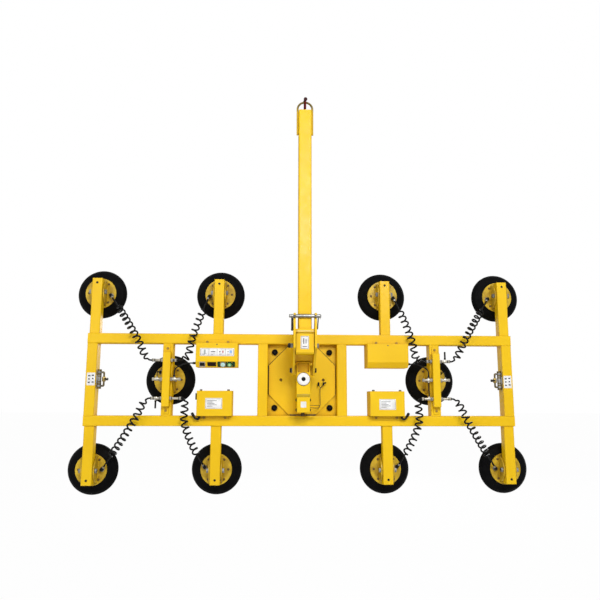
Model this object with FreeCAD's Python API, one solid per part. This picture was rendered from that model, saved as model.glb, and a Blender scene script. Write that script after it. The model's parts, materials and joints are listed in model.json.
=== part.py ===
import FreeCAD, Part
import bisect
import math
import os

os.makedirs("parts", exist_ok=True)

V = FreeCAD.Vector
X_WAY = V(1, 0, 0)
Y_WAY = V(0, 1, 0)
Z_WAY = V(0, 0, 1)
ROUND = 2.0 * math.pi

# Layout: millimetres, X along the frame, Y from the hand side to the glass, Z up.
# The pieces are laid out around the main axle and moved to the lifting eye when written.

# Frame of square tubes
frame_half = 1278.0
frame_half_height = 272.0
tube_wide = 60.0
tube_deep = 80.0
tube_wall = 4.0
tube_round = 6.0
mid_post_share = 0.6275
inner_post_x = 237.0
drain_radius = 5.0
drain_in = 128.0
beam_inner = frame_half_height - tube_wide
mid_post_x = frame_half * mid_post_share
outer_post_x = frame_half - tube_wide / 2

# Cup arms
arm_wide = 60.0
arm_deep = 60.0
arm_set_back = 10.0
arm_reach = 336.0
arm_end_in = 5.0
inner_arm_share = 0.3975
tip_hole_radius = 6.0
tip_hole_in = 28.0
side_hole_radius = 4.0
side_hole_up = 78.0
arm_back = arm_set_back + arm_deep
arm_tip = frame_half_height + arm_reach
outer_arm_x = frame_half - arm_end_in - arm_wide / 2
inner_arm_x = frame_half * inner_arm_share

# Suction cups
cup_in = 80.0
cup_z = arm_tip - cup_in
swivel_y = tube_deep / 2
plate_radius = 93.0
plate_thick = 8.0
plate_y = 98.0
plate_edge = 1.5
rib_radius = 75.0
rib_thick = 8.0
rib_gap = 1.5
rib_inner = arm_wide / 2 + rib_gap
pad_back = plate_y + plate_thick
pad_radius = 150.0
pad_face = 150.0
pad_seat_radius = 97.0
pad_neck_radius = 106.0
pad_neck_y = 112.0
pad_skirt_radius = 134.0
pad_skirt_y = 124.0
pad_lip_radius = 147.0
pad_lip_y = 138.0
pad_rim_y = 146.0
pad_rim_turn = 3.0
groove_outer = 126.0
groove_inner = 114.0
groove_deep = 2.5
cup_bolt_radius = 8.0
cup_bolt_head = 12.0
cup_bolt_flats = 24.0
hole_clearance = 0.05
rest_clearance = 0.4

# Hose elbows on the cup plates
port_x = 66.0
port_drop = 13.0
low_port_drop = 2.0
mid_port_x = 55.0
mid_port_z = 45.0
port_radius = 8.0
port_front = 72.0
nipple_y = 80.0
nipple_radius = 7.0
nipple_length = 26.0
air_radius = 3.0

# Coiled hoses
hose_radius = 5.0
coil_radius = 19.0
outer_turns = 12
inner_turns = 10
lead_share = 0.12
tail_share = 0.03
swell_share = 0.09
fade_share = 0.07
crowd_share = 0.05
outer_lean_x = 190.0
outer_lean_y = 150.0
outer_lean_z = 245.0
upper_lean_x = 78.0
upper_lean_y = 118.0
upper_lean_z = 240.0
lower_lean_x = 108.0
lower_lean_y = 120.0
lower_lean_z = 200.0
outer_run = 28.0
upper_run = 62.0
lower_run = 20.0
link_radius = 3.0
link_rise = 17.0
link_over_y = 16.0
link_over_z = 3.0
link_level_y = 58.0

# Turntable
plate_half = inner_post_x - tube_wide / 2
bumper_side = 41.0
bumper_end = 46.0
bumper_radius = 17.5
bumper_high = 14.0
table_front = 38.0
table_thick = 12.0
table_gap = 7.0
table_cut = 118.0
table_half_wide = plate_half - table_gap
table_half_high = beam_inner - table_gap
index_hole_at = 128.0
index_hole_radius = 9.0
back_front = table_front + table_thick
back_thick = 8.0
axle_radius = 25.0
hub_radius = 38.0
hub_front = -60.0
plate_bore_clearance = 0.5
notch_deep = 10.5
notch_clearance = 0.3
notch_count = 4

# Boom
boom_y = -240.0
boom_half = 38.0
boom_wall = 5.0
boom_top = 1585.0
boom_round = 8.0
pivot_z = 183.0
pivot_radius = 11.0
pivot_head = 14.0
pivot_flats = 24.0
pivot_washer_radius = 26.0
side_play = 0.2
foot_wall = 12.0
foot_below = 50.0
foot_above = 80.0
foot_floor = 7.0
foot_cut = 8.0
flange_plate = 9.0
foot_half = boom_half + foot_wall
foot_bottom = pivot_z - foot_below
foot_top = pivot_z + foot_above
boom_bottom = foot_bottom + foot_floor
bail_bar = 6.0
bail_half = boom_half + bail_bar
bail_down = 145.0
eye_up = 63.0
eye_z = boom_top + eye_up
bail_centre = eye_z - bail_half
shackle_bar = 5.5
shackle_bow = 15.0
shackle_drop = 34.0
shackle_eye_radius = 9.0
shackle_eye_wide = 9.0
shackle_pin_head = 11.0
shackle_pin_out = 5.0
shackle_turn = 6.0

# Tilting head
housing_half = 40.0
housing_front = -120.0
housing_back = -62.0
housing_top = 98.0
housing_bottom = -105.0
recess_half = 33.0
recess_low = 40.0
recess_high = 92.0
recess_deep = 25.0
cross_front = -100.0
cross_low = 25.0
cross_high = 80.0
cheek_gap = 3.0
cheek_thick = 12.0
cheek_inner = foot_half + cheek_gap
cheek_outer = cheek_inner + cheek_thick
flange_gap = 0.5
cheek_round = 10.0
cheek_fore = 72.0
cheek_over = 15.0
cheek_crown_fore = 28.0
cheek_waist_aft = 35.0
cheek_waist_up = 32.0
cheek_heel_up = 12.0
cheek_sole = 3.0
cheek_toe = 5.0
cheek_belly_fore = 22.0
cheek_belly_down = 43.0
cheek_chin_down = 18.0
web_in = 5.0
web_top_aft = 72.0
web_top_down = 23.0
web_thick = 10.0
axle_front = -118.0
axle_back = 92.0
axle_washer_radius = 45.0
axle_washer_thick = 8.0
axle_nut_flats = 72.0
axle_nut_thick = 19.0
cap_radius = 36.0
cap_thick = 10.0
cap_hole = 10.0
cap_edge = 3.0
low_bolt_y = -80.0
low_bolt_z = 52.0
low_bolt_flats = 26.0
low_bolt_head = 13.0
low_bolt_radius = 10.0
low_bolt_deep = 30.0

# Lock block and index plunger
block_half = 38.0
block_front = -125.0
block_back = -20.0
block_bottom = -190.0
block_round = 4.0
chamber_radius = 16.0
chamber_low = -178.0
chamber_high = -112.0
side_bolt_flats = 13.0
side_bolt_head = 6.0
side_bolt_y = -95.0
side_bolt_in = 14.0
plunger_y = -40.0
plunger_radius = 10.0
plunger_tip = -39.0
plunger_collar_radius = 15.0
plunger_collar_low = -140.0
plunger_collar_thick = 5.0
tee_z = -206.0
tee_half = 76.0
tee_radius = 4.5
tee_boss_radius = 12.0
tee_boss_low = 7.0
tee_boss_high = 6.5
spring_wire = 1.25
spring_radius = 13.2
spring_turns = 6
spring_gap = 0.3

# Lock pin in front of the boom
pin_radius = 10.0
pin_gap = 0.3
pin_up = 162.0
pin_out = 25.0
pin_edge = 4.0
pin_slot_clearance = 0.4
pin_cotter_in = 6.0
pin_cotter_radius = 2.5
handle_radius = 5.0
handle_gap = 2.5
handle_long = 83.0
pin_y = boom_y - boom_half - pin_radius - pin_gap
pin_z = pivot_z + pin_up
pin_half = cheek_outer + pin_out
handle_x = -cheek_outer - handle_gap - handle_radius

# Boxes
box_half = 123.0
box_front = -55.0
box_back = tube_deep
box_front_high = 109.0
box_high = 140.0
box_low_front = beam_inner - box_front_high
box_low = beam_inner - box_high
panel_deep = 24.0
panel_foot = box_front + panel_deep
box_wall = 3.0
box_round = 4.0
flange_thick = 3.0
flange_high = 24.0
flange_half = 80.0
flange_bolt_x = 62.0
flange_bolt_in = 11.0
battery_shift = -8.0
battery_half = 102.5
battery_front = -50.0
battery_high = 142.0
battery_top = battery_high - beam_inner
cover_thick = 3.0
cover_inset = 3.0
lid_bolt_x = 80.0
lid_bolt_y = -30.0
lid_bolt_head = 8.0
box_bolt_flats = 13.0
box_bolt_head = 5.5
box_bolt_radius = 4.0
cell_side_gap = 20.0
cell_deep_gap = 17.0
cell_head_gap = 34.0
pump_half = 50.0
pump_half_deep = 40.0
pump_high = 60.0
motor_radius = 24.0
motor_length = 60.0

# Controls on the slanted panel of the control box, measured from its middle
panel_mid_share = 0.5
switch_off = -84.0
switch_radius = 12.0
switch_half = 13.0
switch_sunk = 6.0
switch_slot_clearance = 0.6
switch_face_turn = 8.0
switch_face_out = 4.6
start_off = 76.0
start_radius = 12.0
stop_off = 37.0
stop_radius = 12.0
button_out = 9.0
button_in = 12.0
collar_wide = 4.0
collar_out = 4.0
button_edge = 1.0

# Manifolds and fittings
bar_half = 22.0
bar_deep = 40.0
bar_end_gap = 53.5
bar_half_high = beam_inner - bar_end_gap
bar_edge = 2.0
tab_half = 16.0
tab_thick = 5.0
tab_length = 42.0
tab_bolt_in = 24.0
fitting_in = 47.5
hose_fitting_z = bar_half_high - fitting_in
fitting_flats = 20.0
fitting_hex = 12.0
fitting_radius = 7.5
nut_flats = 18.0
nut_long = 11.0
outer_fitting = 62.0
upper_fitting = 34.0
lower_fitting = 68.0
tee_fitting = 60.0
outer_node = 36.0
tee_outer_node = 33.0
tee_inner_node = 23.0
branch_radius = 6.0
branch_long = 15.0
tail_radius = 4.5
tail_long = 58.0

# Hand valves
valve_y = 18.0
valve_out = 17.0
valve_radius = 12.0
valve_half_high = 56.0
valve_flange_radius = 14.5
valve_flange_thick = 8.0
valve_loop_z = 40.0
valve_loop_out = 44.0
valve_loop_radius = 5.0
valve_foot_half = 8.0
valve_foot_half_high = 22.0
ball_radius = 10.5
ball_half = 14.0
ball_edge = 3.0
stem_radius = 6.0
stem_out = 56.5
lever_gap = 0.4
lever_hub = 7.0
lever_wide = 12.0
lever_half_high = 4.0
lever_reach = 45.0

# Supply tubes and battery leads
supply_radius = 4.0
supply_y = 18.0
supply_box_down = 115.0
supply_run_share = 0.55
supply_node_up = 62.0
lead_radius = 6.0
lead_y = -25.0
lead_in = 14.0
lead_drop = 18.0
lead_across = 22.0
lead_rise = 36.0
lead_out = 20.0
bend_share = 0.45

eye_shift = V(0, -boom_y, -eye_z)


# Write one node from its separate solids
def write(node, solids):
    shape = solids[0] if len(solids) == 1 else Part.Compound(solids)
    shape = shape.copy()
    shape.translate(eye_shift)
    shape.exportStep("parts/" + node + ".step")
    print(node, len(solids), all(s.isValid() for s in solids))


# Block between pairs of limits
def block(xs, ys, zs):
    size = (xs[1] - xs[0], ys[1] - ys[0], zs[1] - zs[0])
    return Part.makeBox(size[0], size[1], size[2], V(xs[0], ys[0], zs[0]))


# Block with the edges along one way rounded
def bar(xs, ys, zs, way, radius):
    body = block(xs, ys, zs)
    edges = [e for e in body.Edges if abs(e.tangentAt(e.FirstParameter).dot(way)) > 0.5]
    return body.makeFillet(radius, edges)


# Round rod from a point along a way
def rod(start, way, radius, length):
    return Part.makeCylinder(radius, length, start, way)


# Rod with its far edge broken
def capped(start, way, radius, length, edge):
    body = rod(start, way, radius, length)
    far = start + way * length
    rims = [e for e in body.Edges if e.Closed and (e.CenterOfMass - far).Length < edge]
    return body.makeChamfer(edge, rims)


# Six-sided prism, measured over its flats
def hexagon(start, way, flats, length):
    corner = flats / math.sqrt(3.0)
    side = way.cross(Z_WAY if abs(way.z) < 0.5 else X_WAY)
    up = way.cross(side)
    points = []
    for k in range(7):
        turn = ROUND * k / 6
        points.append(start + side * (corner * math.cos(turn)) + up * (corner * math.sin(turn)))
    return Part.Face(Part.makePolygon(points)).extrude(way * length)


# Flat outline in the YZ plane, thickened along X
def slab_x(outline, x_from, x_to):
    points = [V(x_from, y, z) for y, z in outline]
    return Part.Face(Part.makePolygon(points + points[:1])).extrude(X_WAY * (x_to - x_from))


# Flat outline in the XZ plane, thickened along Y
def slab_y(outline, y_from, y_to):
    points = [V(x, y_from, z) for x, z in outline]
    return Part.Face(Part.makePolygon(points + points[:1])).extrude(Y_WAY * (y_to - y_from))


# Bolt: hexagon head outside a face and a shank behind it
def bolt(face, out, flats, head, radius, deep):
    shank = rod(face - out * deep, out, radius, deep + head / 2)
    return hexagon(face, out, flats, head).fuse(shank).removeSplitter()


# Length of the tangents of two arcs that join two points smoothly
def biarc_reach(p, t, q, u):
    span = q - p
    lean = span.dot(t + u)
    bend = 2.0 * (1.0 - t.dot(u))
    if bend < 1e-9:
        return span.dot(span) / (2.0 * lean)
    return (math.sqrt(lean * lean + bend * span.dot(span)) - lean) / bend


# One arc from a point with a given tangent to an end point
def arc_edge(p, t, q, reach):
    corner = p + t * reach
    middle = (p + q) * 0.5
    half = (q - p).Length / 2
    rise = corner - middle
    if rise.Length < 1e-5:
        return Part.LineSegment(p, q)
    turn = math.atan2(rise.Length, half)
    on_arc = middle + rise * (math.tan(turn / 2) / math.tan(turn))
    return Part.Arc(p, on_arc, q)


# Chain of biarcs through points with tangents
def biarcs(points, tangents):
    edges = []
    for p, t, q, u in zip(points, tangents, points[1:], tangents[1:]):
        reach = biarc_reach(p, t, q, u)
        joint = (p + t * reach + q - u * reach) * 0.5
        edges.append(arc_edge(p, t, joint, reach))
        edges.append(arc_edge(joint, (q - u * reach - p - t * reach).normalize(), q, reach))
    return edges


# Round tube swept along a chain of edges
def sweep(edges, radius):
    spine = Part.Wire([e.toShape() for e in edges])
    first = spine.OrderedEdges[0]
    start = first.valueAt(first.FirstParameter)
    way = first.tangentAt(first.FirstParameter)
    ring = Part.Wire([Part.Circle(start, way, radius).toShape()])
    shell = Part.BRepOffsetAPI.MakePipeShell(spine)
    shell.add(ring)
    shell.build()
    shell.makeSolid()
    return shell.shape()


# Least free gap between parts of one tube that are not neighbours
def self_gap(points, radius):
    least = None
    run = [0.0]
    for p, q in zip(points, points[1:]):
        run.append(run[-1] + (q - p).Length)
    for i in range(len(points)):
        for j in range(i + 1, len(points)):
            if run[j] - run[i] > ROUND * radius:
                gap = (points[j] - points[i]).Length - 2 * radius
                least = gap if least is None else min(least, gap)
    return least


# Tube of straight runs joined by tangent arcs
def bent_tube(points, radius):
    edges = []
    here = points[0]
    for a, b, c in zip(points, points[1:], points[2:]):
        into = (b - a).normalize()
        away = (c - b).normalize()
        turn = into.getAngle(away)
        cut = bend_share * min((b - a).Length, (c - b).Length)
        print("bend radius", round(cut / math.tan(turn / 2), 1), "tube", 2 * radius)
        edges.append(Part.LineSegment(here, b - into * cut))
        edges.append(arc_edge(b - into * cut, into, b + away * cut, cut))
        here = b + away * cut
    edges.append(Part.LineSegment(here, points[-1]))
    return sweep(edges, radius)


# Smooth step from nought to one
def ease(share):
    held = min(1.0, max(0.0, share))
    return held * held * (3.0 - 2.0 * held)


# Point on the two joined parabolas that guide a hose
def guide(route, share):
    first, near, far, last = route
    middle = (near + far) * 0.5
    if share <= 0.5:
        a, b, c, t = first, near, middle, 2.0 * share
    else:
        a, b, c, t = middle, far, last, 2.0 * share - 1.0
    return a * ((1 - t) * (1 - t)) + b * (2 * t * (1 - t)) + c * (t * t)


# Guide point at a share of the guide's own length
def even_guide(route, lengths, share):
    wanted = share * lengths[-1]
    last = len(lengths) - 1
    k = min(last - 1, max(0, bisect.bisect_right(lengths, wanted) - 1))
    part = (wanted - lengths[k]) / (lengths[k + 1] - lengths[k])
    return guide(route, (k + part) / last)


# Running lengths along a guide
def guide_lengths(route):
    count = 400
    points = [guide(route, k / count) for k in range(count + 1)]
    lengths = [0.0]
    for p, q in zip(points, points[1:]):
        lengths.append(lengths[-1] + (q - p).Length)
    return lengths


# Point on a hose: the guide with curls that swell from nothing and fade again
def hose_point(route, lengths, turns, share):
    step = 2e-3
    here = even_guide(route, lengths, share)
    ahead = even_guide(route, lengths, min(1.0, share + step))
    way = (ahead - even_guide(route, lengths, max(0.0, share - step))).normalize()
    side = way.cross(Y_WAY).normalize()
    up = side.cross(way)
    part = min(1.0, max(0.0, (share - lead_share) / (1.0 - lead_share - tail_share)))
    swell = coil_radius * ease(part / swell_share) * ease((1.0 - part) / fade_share)
    turn = ROUND * turns * (part + crowd_share * part * (1.0 - part))
    return here + side * (swell * math.cos(turn)) + up * (swell * math.sin(turn))


# Coiled hose between two nipples, with straight ends
def coiled_hose(start, route, end, turns):
    fine = 1e-3
    lengths = guide_lengths(route)
    coil_share = 1.0 - lead_share - tail_share
    shares = [0.0, lead_share / 2]
    shares += [lead_share + coil_share * k / (4 * turns) for k in range(4 * turns + 1)]
    shares.append(1.0)
    points = [hose_point(route, lengths, turns, s) for s in shares]
    tangents = []
    for s in shares:
        ahead = hose_point(route, lengths, turns, min(1.0, s + fine))
        tangents.append((ahead - hose_point(route, lengths, turns, max(0.0, s - fine))).normalize())
    tangents[0] = (points[0] - start).normalize()
    tangents[-1] = (end - points[-1]).normalize()
    edges = [Part.LineSegment(start, points[0])]
    edges += biarcs(points, tangents)
    edges.append(Part.LineSegment(points[-1], end))
    curves = [e.toShape().Curve for e in edges]
    tightest = min([c.Radius for c in curves if hasattr(c, "Radius")])
    dense = 48 * turns
    samples = [hose_point(route, lengths, turns, k / dense) for k in range(dense + 1)]
    gap = self_gap([start] + samples + [end], hose_radius)
    print("hose gap", round(gap, 2), "tightest", round(tightest, 1), "guide", round(lengths[-1]))
    return sweep(edges, hose_radius)


# Square tube between limits, open along its length
def square_tube(xs, ys, zs, way, wall, radius):
    thin = V(1, 1, 1) - way
    low = V(xs[0], ys[0], zs[0]) + thin * wall
    high = V(xs[1], ys[1], zs[1]) - thin * wall
    core = bar((low.x, high.x), (low.y, high.y), (low.z, high.z), way, radius - wall / 2)
    return bar(xs, ys, zs, way, radius).cut(core)


both = (-1, 1)

# Cups: name, place, side of the elbow and its drop towards the frame
cup_spots = [("upper_left_outer", -outer_arm_x, cup_z, 1, port_drop),
             ("upper_left_inner", -inner_arm_x, cup_z, -1, port_drop),
             ("upper_right_inner", inner_arm_x, cup_z, 1, port_drop),
             ("upper_right_outer", outer_arm_x, cup_z, -1, port_drop),
             ("middle_left", -mid_post_x, 0, -1, 0),
             ("middle_right", mid_post_x, 0, 1, 0),
             ("lower_left_outer", -outer_arm_x, -cup_z, 1, low_port_drop),
             ("lower_left_inner", -inner_arm_x, -cup_z, -1, port_drop),
             ("lower_right_inner", inner_arm_x, -cup_z, 1, port_drop),
             ("lower_right_outer", outer_arm_x, -cup_z, -1, low_port_drop)]

# Flange bolts of all four boxes, on the front of the beams
beam_bolts = []
for side in both:
    for off in both:
        box_x = side * inner_arm_x
        beam_bolts.append(V(box_x + off * flange_bolt_x, 0, beam_inner + flange_bolt_in))
        beam_bolts.append(V(box_x + battery_shift + off * flange_bolt_x, 0, -beam_inner - flange_bolt_in))

# Top and bottom beams, closed at the ends, with drain holes below
for node, low in (("top_beam", beam_inner), ("bottom_beam", -frame_half_height)):
    high = low + tube_wide
    body = bar((-frame_half, frame_half), (0, tube_deep), (low, high), X_WAY, tube_round)
    core = bar((-frame_half + tube_wall, frame_half - tube_wall), (tube_wall, tube_deep - tube_wall),
               (low + tube_wall, high - tube_wall), X_WAY, tube_round - tube_wall / 2)
    body = body.cut(core)
    for side in both:
        spot = V(side * (frame_half - drain_in), tube_deep / 2, low - tube_wall)
        body = body.cut(rod(spot, Z_WAY, drain_radius, 3 * tube_wall))
    for spot in beam_bolts:
        if low < spot.z < high:
            start = spot - Y_WAY * tube_wall
            body = body.cut(rod(start, Y_WAY, box_bolt_radius + rest_clearance, 3 * tube_wall))
    write(node, [body])

# Six posts between the beams
posts = []
for x in (outer_post_x, mid_post_x, inner_post_x):
    for side in both:
        middle = side * x
        post = square_tube((middle - tube_wide / 2, middle + tube_wide / 2), (0, tube_deep),
                           (-beam_inner, beam_inner), Z_WAY, tube_wall, tube_round)
        if x == mid_post_x:
            start = V(middle - tube_wide, swivel_y, 0)
            post = post.cut(rod(start, X_WAY, cup_bolt_radius + hole_clearance, 2 * tube_wide))
            for up in both:
                start = V(middle, -tube_wall, up * (bar_half_high + tab_bolt_in))
                post = post.cut(rod(start, Y_WAY, box_bolt_radius + rest_clearance, 3 * tube_wall))
        posts.append(post)
write("frame_posts", posts)

# Eight arms, open at the beam and closed at the tip
arms = []
for name, x, z, port, drop in cup_spots:
    if z == 0:
        continue
    up = 1 if z > 0 else -1
    ends = sorted((up * frame_half_height, up * arm_tip))
    arm = bar((x - arm_wide / 2, x + arm_wide / 2), (arm_set_back, arm_back), ends, Z_WAY, tube_round)
    inside = sorted((up * (frame_half_height - tube_wall), up * (arm_tip - tube_wall)))
    arm = arm.cut(bar((x - arm_wide / 2 + tube_wall, x + arm_wide / 2 - tube_wall),
                      (arm_set_back + tube_wall, arm_back - tube_wall), inside, Z_WAY,
                      tube_round - tube_wall / 2))
    tip_rim = [e for e in arm.Edges if abs(e.CenterOfMass.z - up * arm_tip) < plate_edge]
    arm = arm.makeChamfer(plate_edge, tip_rim)
    arm = arm.cut(rod(V(x - arm_wide, swivel_y, z), X_WAY, cup_bolt_radius + hole_clearance, 2 * arm_wide))
    start = V(x, arm_set_back - tube_wall, up * (arm_tip - tip_hole_in))
    arm = arm.cut(rod(start, Y_WAY, tip_hole_radius, 3 * tube_wall))
    if abs(x) == outer_arm_x:
        inward = -1 if x > 0 else 1
        inside_x = x + inward * (arm_wide / 2 - 2 * tube_wall)
        start = V(inside_x, swivel_y, up * (frame_half_height + side_hole_up))
        arm = arm.cut(rod(start, X_WAY * inward, side_hole_radius, 3 * tube_wall))
    arms.append(arm)
write("cup_arms", arms)

# Way in which a hose leaves its elbow
def hose_way(x, z, port):
    up = 1 if z > 0 else -1
    if abs(x) == outer_arm_x:
        return V(port * outer_lean_x, -outer_lean_y, -up * outer_lean_z)
    if z > 0:
        return V(port * upper_lean_x, -upper_lean_y, -upper_lean_z)
    return V(port * lower_lean_x, -lower_lean_y, lower_lean_z)


# Centre of an elbow on a cup plate
def port_spot(x, z, port, drop):
    if z == 0:
        return V(x + port * mid_port_x, nipple_y, mid_port_z)
    up = 1 if z > 0 else -1
    return V(x + port * port_x, nipple_y, z - up * drop)


# Cups: a carrier with two ribs and an elbow, and a rubber pad
cup_bolts = []
for name, x, z, port, drop in cup_spots:
    carrier = rod(V(x, plate_y, z), Y_WAY, plate_radius, plate_thick)
    rims = [e for e in carrier.Edges if e.Closed]
    carrier = carrier.makeChamfer(plate_edge, rims)
    for side in both:
        rib_from = x + side * (rib_inner + rib_thick / 2) - rib_thick / 2
        rib = rod(V(rib_from, plate_y, z), X_WAY, rib_radius, rib_thick)
        rib = rib.common(block((rib_from, rib_from + rib_thick), (plate_y - rib_radius, plate_y),
                               (z - rib_radius, z + rib_radius)))
        start = V(rib_from - rib_thick, swivel_y, z)
        rib = rib.cut(rod(start, X_WAY, cup_bolt_radius + hole_clearance, 3 * rib_thick))
        carrier = carrier.fuse(rib)
    spot = port_spot(x, z, port, drop)
    stem_foot = V(spot.x, plate_y, spot.z)
    carrier = carrier.fuse(capped(stem_foot, -Y_WAY, port_radius, plate_y - port_front, plate_edge))
    if z != 0:
        way = hose_way(x, z, port).normalize()
        carrier = carrier.fuse(rod(spot, way, nipple_radius, nipple_length))
    carrier = carrier.removeSplitter()
    hole = rod(V(spot.x, pad_face, spot.z), -Y_WAY, air_radius, pad_face - nipple_y)
    write("carrier_" + name, [carrier.cut(hole)])

    profile = [(0, pad_back), (pad_seat_radius, pad_back), (pad_neck_radius, pad_neck_y),
               (pad_skirt_radius, pad_skirt_y), (pad_lip_radius, pad_lip_y), (pad_radius, pad_rim_y),
               (pad_radius - pad_rim_turn, pad_face), (groove_outer, pad_face),
               (groove_outer, pad_face - groove_deep), (groove_inner, pad_face - groove_deep),
               (groove_inner, pad_face), (0, pad_face)]
    points = [V(x + r, y, z) for r, y in profile]
    pad = Part.Face(Part.makePolygon(points + points[:1])).revolve(V(x, 0, z), Y_WAY, 360)
    write("pad_" + name, [pad.cut(hole)])

    half = rib_inner + rib_thick + rest_clearance
    reach = half + cup_bolt_head
    shank = rod(V(x - reach, swivel_y, z), X_WAY, cup_bolt_radius, 2 * reach)
    for side in both:
        start = V(x + side * half, swivel_y, z)
        shank = shank.fuse(hexagon(start, X_WAY * side, cup_bolt_flats, cup_bolt_head))
    cup_bolts.append(shank.removeSplitter())
write("cup_bolts", cup_bolts)

# Turntable plate, back plate and bumpers
wide = table_half_wide
high = table_half_high
octagon = [(wide, high - table_cut), (wide - table_cut, high), (table_cut - wide, high),
           (-wide, high - table_cut), (-wide, table_cut - high), (table_cut - wide, -high),
           (wide - table_cut, -high), (wide, table_cut - high)]
bore = rod(V(0, table_front - table_thick, 0), Y_WAY, axle_radius + plate_bore_clearance, 4 * table_thick)
table = slab_y(octagon, table_front, back_front).cut(bore)
for x, z in ((index_hole_at, 0), (-index_hole_at, 0), (0, index_hole_at), (0, -index_hole_at)):
    table = table.cut(rod(V(x, table_front, z), Y_WAY, index_hole_radius, table_thick))
write("turntable_plate", [table])

back = block((-plate_half, plate_half), (back_front, back_front + back_thick), (-beam_inner, beam_inner))
write("back_plate", [back.cut(bore)])

bumpers = []
for x in both:
    for z in both:
        foot = V(x * (plate_half - bumper_side), back_front, z * (beam_inner - bumper_end))
        bumpers.append(capped(foot, -Y_WAY, bumper_radius, bumper_high, plate_edge))
write("rubber_bumpers", bumpers)

# Hub with index notches all round
hub = rod(V(0, hub_front, 0), Y_WAY, hub_radius, table_front - hub_front)
hub = hub.cut(rod(V(0, hub_front, 0), Y_WAY, axle_radius + hole_clearance, table_front - hub_front))
for k in range(notch_count):
    turn = ROUND * k / notch_count
    way = V(math.sin(turn), 0, -math.cos(turn))
    start = V(0, plunger_y, 0) + way * (hub_radius - notch_deep)
    hub = hub.cut(rod(start, way, plunger_radius + notch_clearance, 2 * notch_deep))
write("hub_bush", [hub])

# Head: cheeks with an open slot that follows the lock pin
pin_from_pivot = math.hypot(pin_y - boom_y, pin_z - pivot_z)
pin_angle = math.atan2(pin_z - pivot_z, pin_y - boom_y)
pivot = V(0, boom_y, pivot_z)
slot_half = pin_radius + pin_slot_clearance
cheek_front = boom_y - cheek_fore
cheek_top = pin_z + cheek_over
cheek_outline = [(cheek_front, cheek_top), (boom_y - cheek_crown_fore, cheek_top),
                 (boom_y + cheek_waist_aft, pivot_z + cheek_waist_up),
                 (cross_front, housing_top + cheek_heel_up), (housing_back, housing_top),
                 (housing_back, cross_low - cheek_sole), (cross_front - cheek_toe, cross_low - cheek_sole),
                 (boom_y - cheek_belly_fore, pivot_z - cheek_belly_down),
                 (cheek_front, pivot_z - cheek_chin_down)]
cheeks = []
for side in both:
    x_from = min(side * cheek_inner, side * cheek_outer)
    cheek = slab_x(cheek_outline, x_from, x_from + cheek_thick)
    corners = [e for e in cheek.Edges if abs(e.tangentAt(e.FirstParameter).x) > 0.5]
    cheek = cheek.makeFillet(cheek_round, [e for e in corners if e.CenterOfMass.y < cross_front])
    start = V(x_from, boom_y, pivot_z)
    ring = rod(start, X_WAY, pin_from_pivot + slot_half, cheek_thick)
    ring = ring.cut(rod(start, X_WAY, pin_from_pivot - slot_half, cheek_thick))
    reach = block((x_from, x_from + cheek_thick), (cheek_front, pin_y), (pivot_z, pin_z + 2 * pin_radius))
    cheek = cheek.cut(ring.common(reach))
    cheek = cheek.cut(rod(V(x_from, pin_y, pin_z), X_WAY, slot_half, cheek_thick))
    cheek = cheek.cut(rod(start, X_WAY, pivot_radius + hole_clearance, cheek_thick))
    start = V(x_from, low_bolt_y, low_bolt_z)
    cheek = cheek.cut(rod(start, X_WAY, low_bolt_radius + rest_clearance, cheek_thick))
    cheeks.append(cheek)
write("head_cheeks", cheeks)

housing = bar((-housing_half, housing_half), (housing_front, housing_back), (housing_bottom, housing_top),
              Z_WAY, block_round)
housing = housing.fuse(block((-cheek_inner, cheek_inner), (cross_front, housing_back),
                             (cross_low, cross_high)))
web_low = V(0, cross_front - web_in, housing_top - web_in)
web_high = V(0, boom_y + web_top_aft, pivot_z - web_top_down)
web_back = (web_high - web_low).cross(X_WAY).normalize() * web_thick
web = [web_low, web_high, web_high + web_back, web_low + web_back]
housing = housing.fuse(slab_x([(p.y, p.z) for p in web], -cheek_inner, cheek_inner))
housing = housing.cut(block((-recess_half, recess_half), (housing_front, housing_front + recess_deep),
                            (recess_low, recess_high)))
housing = housing.cut(rod(V(0, housing_front, 0), Y_WAY, axle_radius, housing_back - housing_front))
for side in both:
    start = V(side * cheek_inner, low_bolt_y, low_bolt_z)
    housing = housing.cut(rod(start, X_WAY * -side, low_bolt_radius + rest_clearance, low_bolt_deep))
write("trunnion_housing", [housing.removeSplitter()])

write("main_axle", [capped(V(0, axle_front, 0), Y_WAY, axle_radius, axle_back - axle_front, plate_edge)])

cap = capped(V(0, housing_front, 0), -Y_WAY, cap_radius, cap_thick, cap_edge)
write("axle_cap", [cap.cut(rod(V(0, housing_front - cap_thick, 0), Y_WAY, cap_hole, cap_thick / 2))])

# Lock block with the spring chamber
lock = bar((-block_half, block_half), (block_front, block_back), (block_bottom, housing_bottom),
           Z_WAY, block_round)
lock = lock.cut(rod(V(0, plunger_y, chamber_low), Z_WAY, chamber_radius, chamber_high - chamber_low))
start = V(0, plunger_y, block_bottom)
lock = lock.cut(rod(start, Z_WAY, plunger_radius + hole_clearance, housing_bottom - block_bottom))
write("lock_block", [lock])

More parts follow.
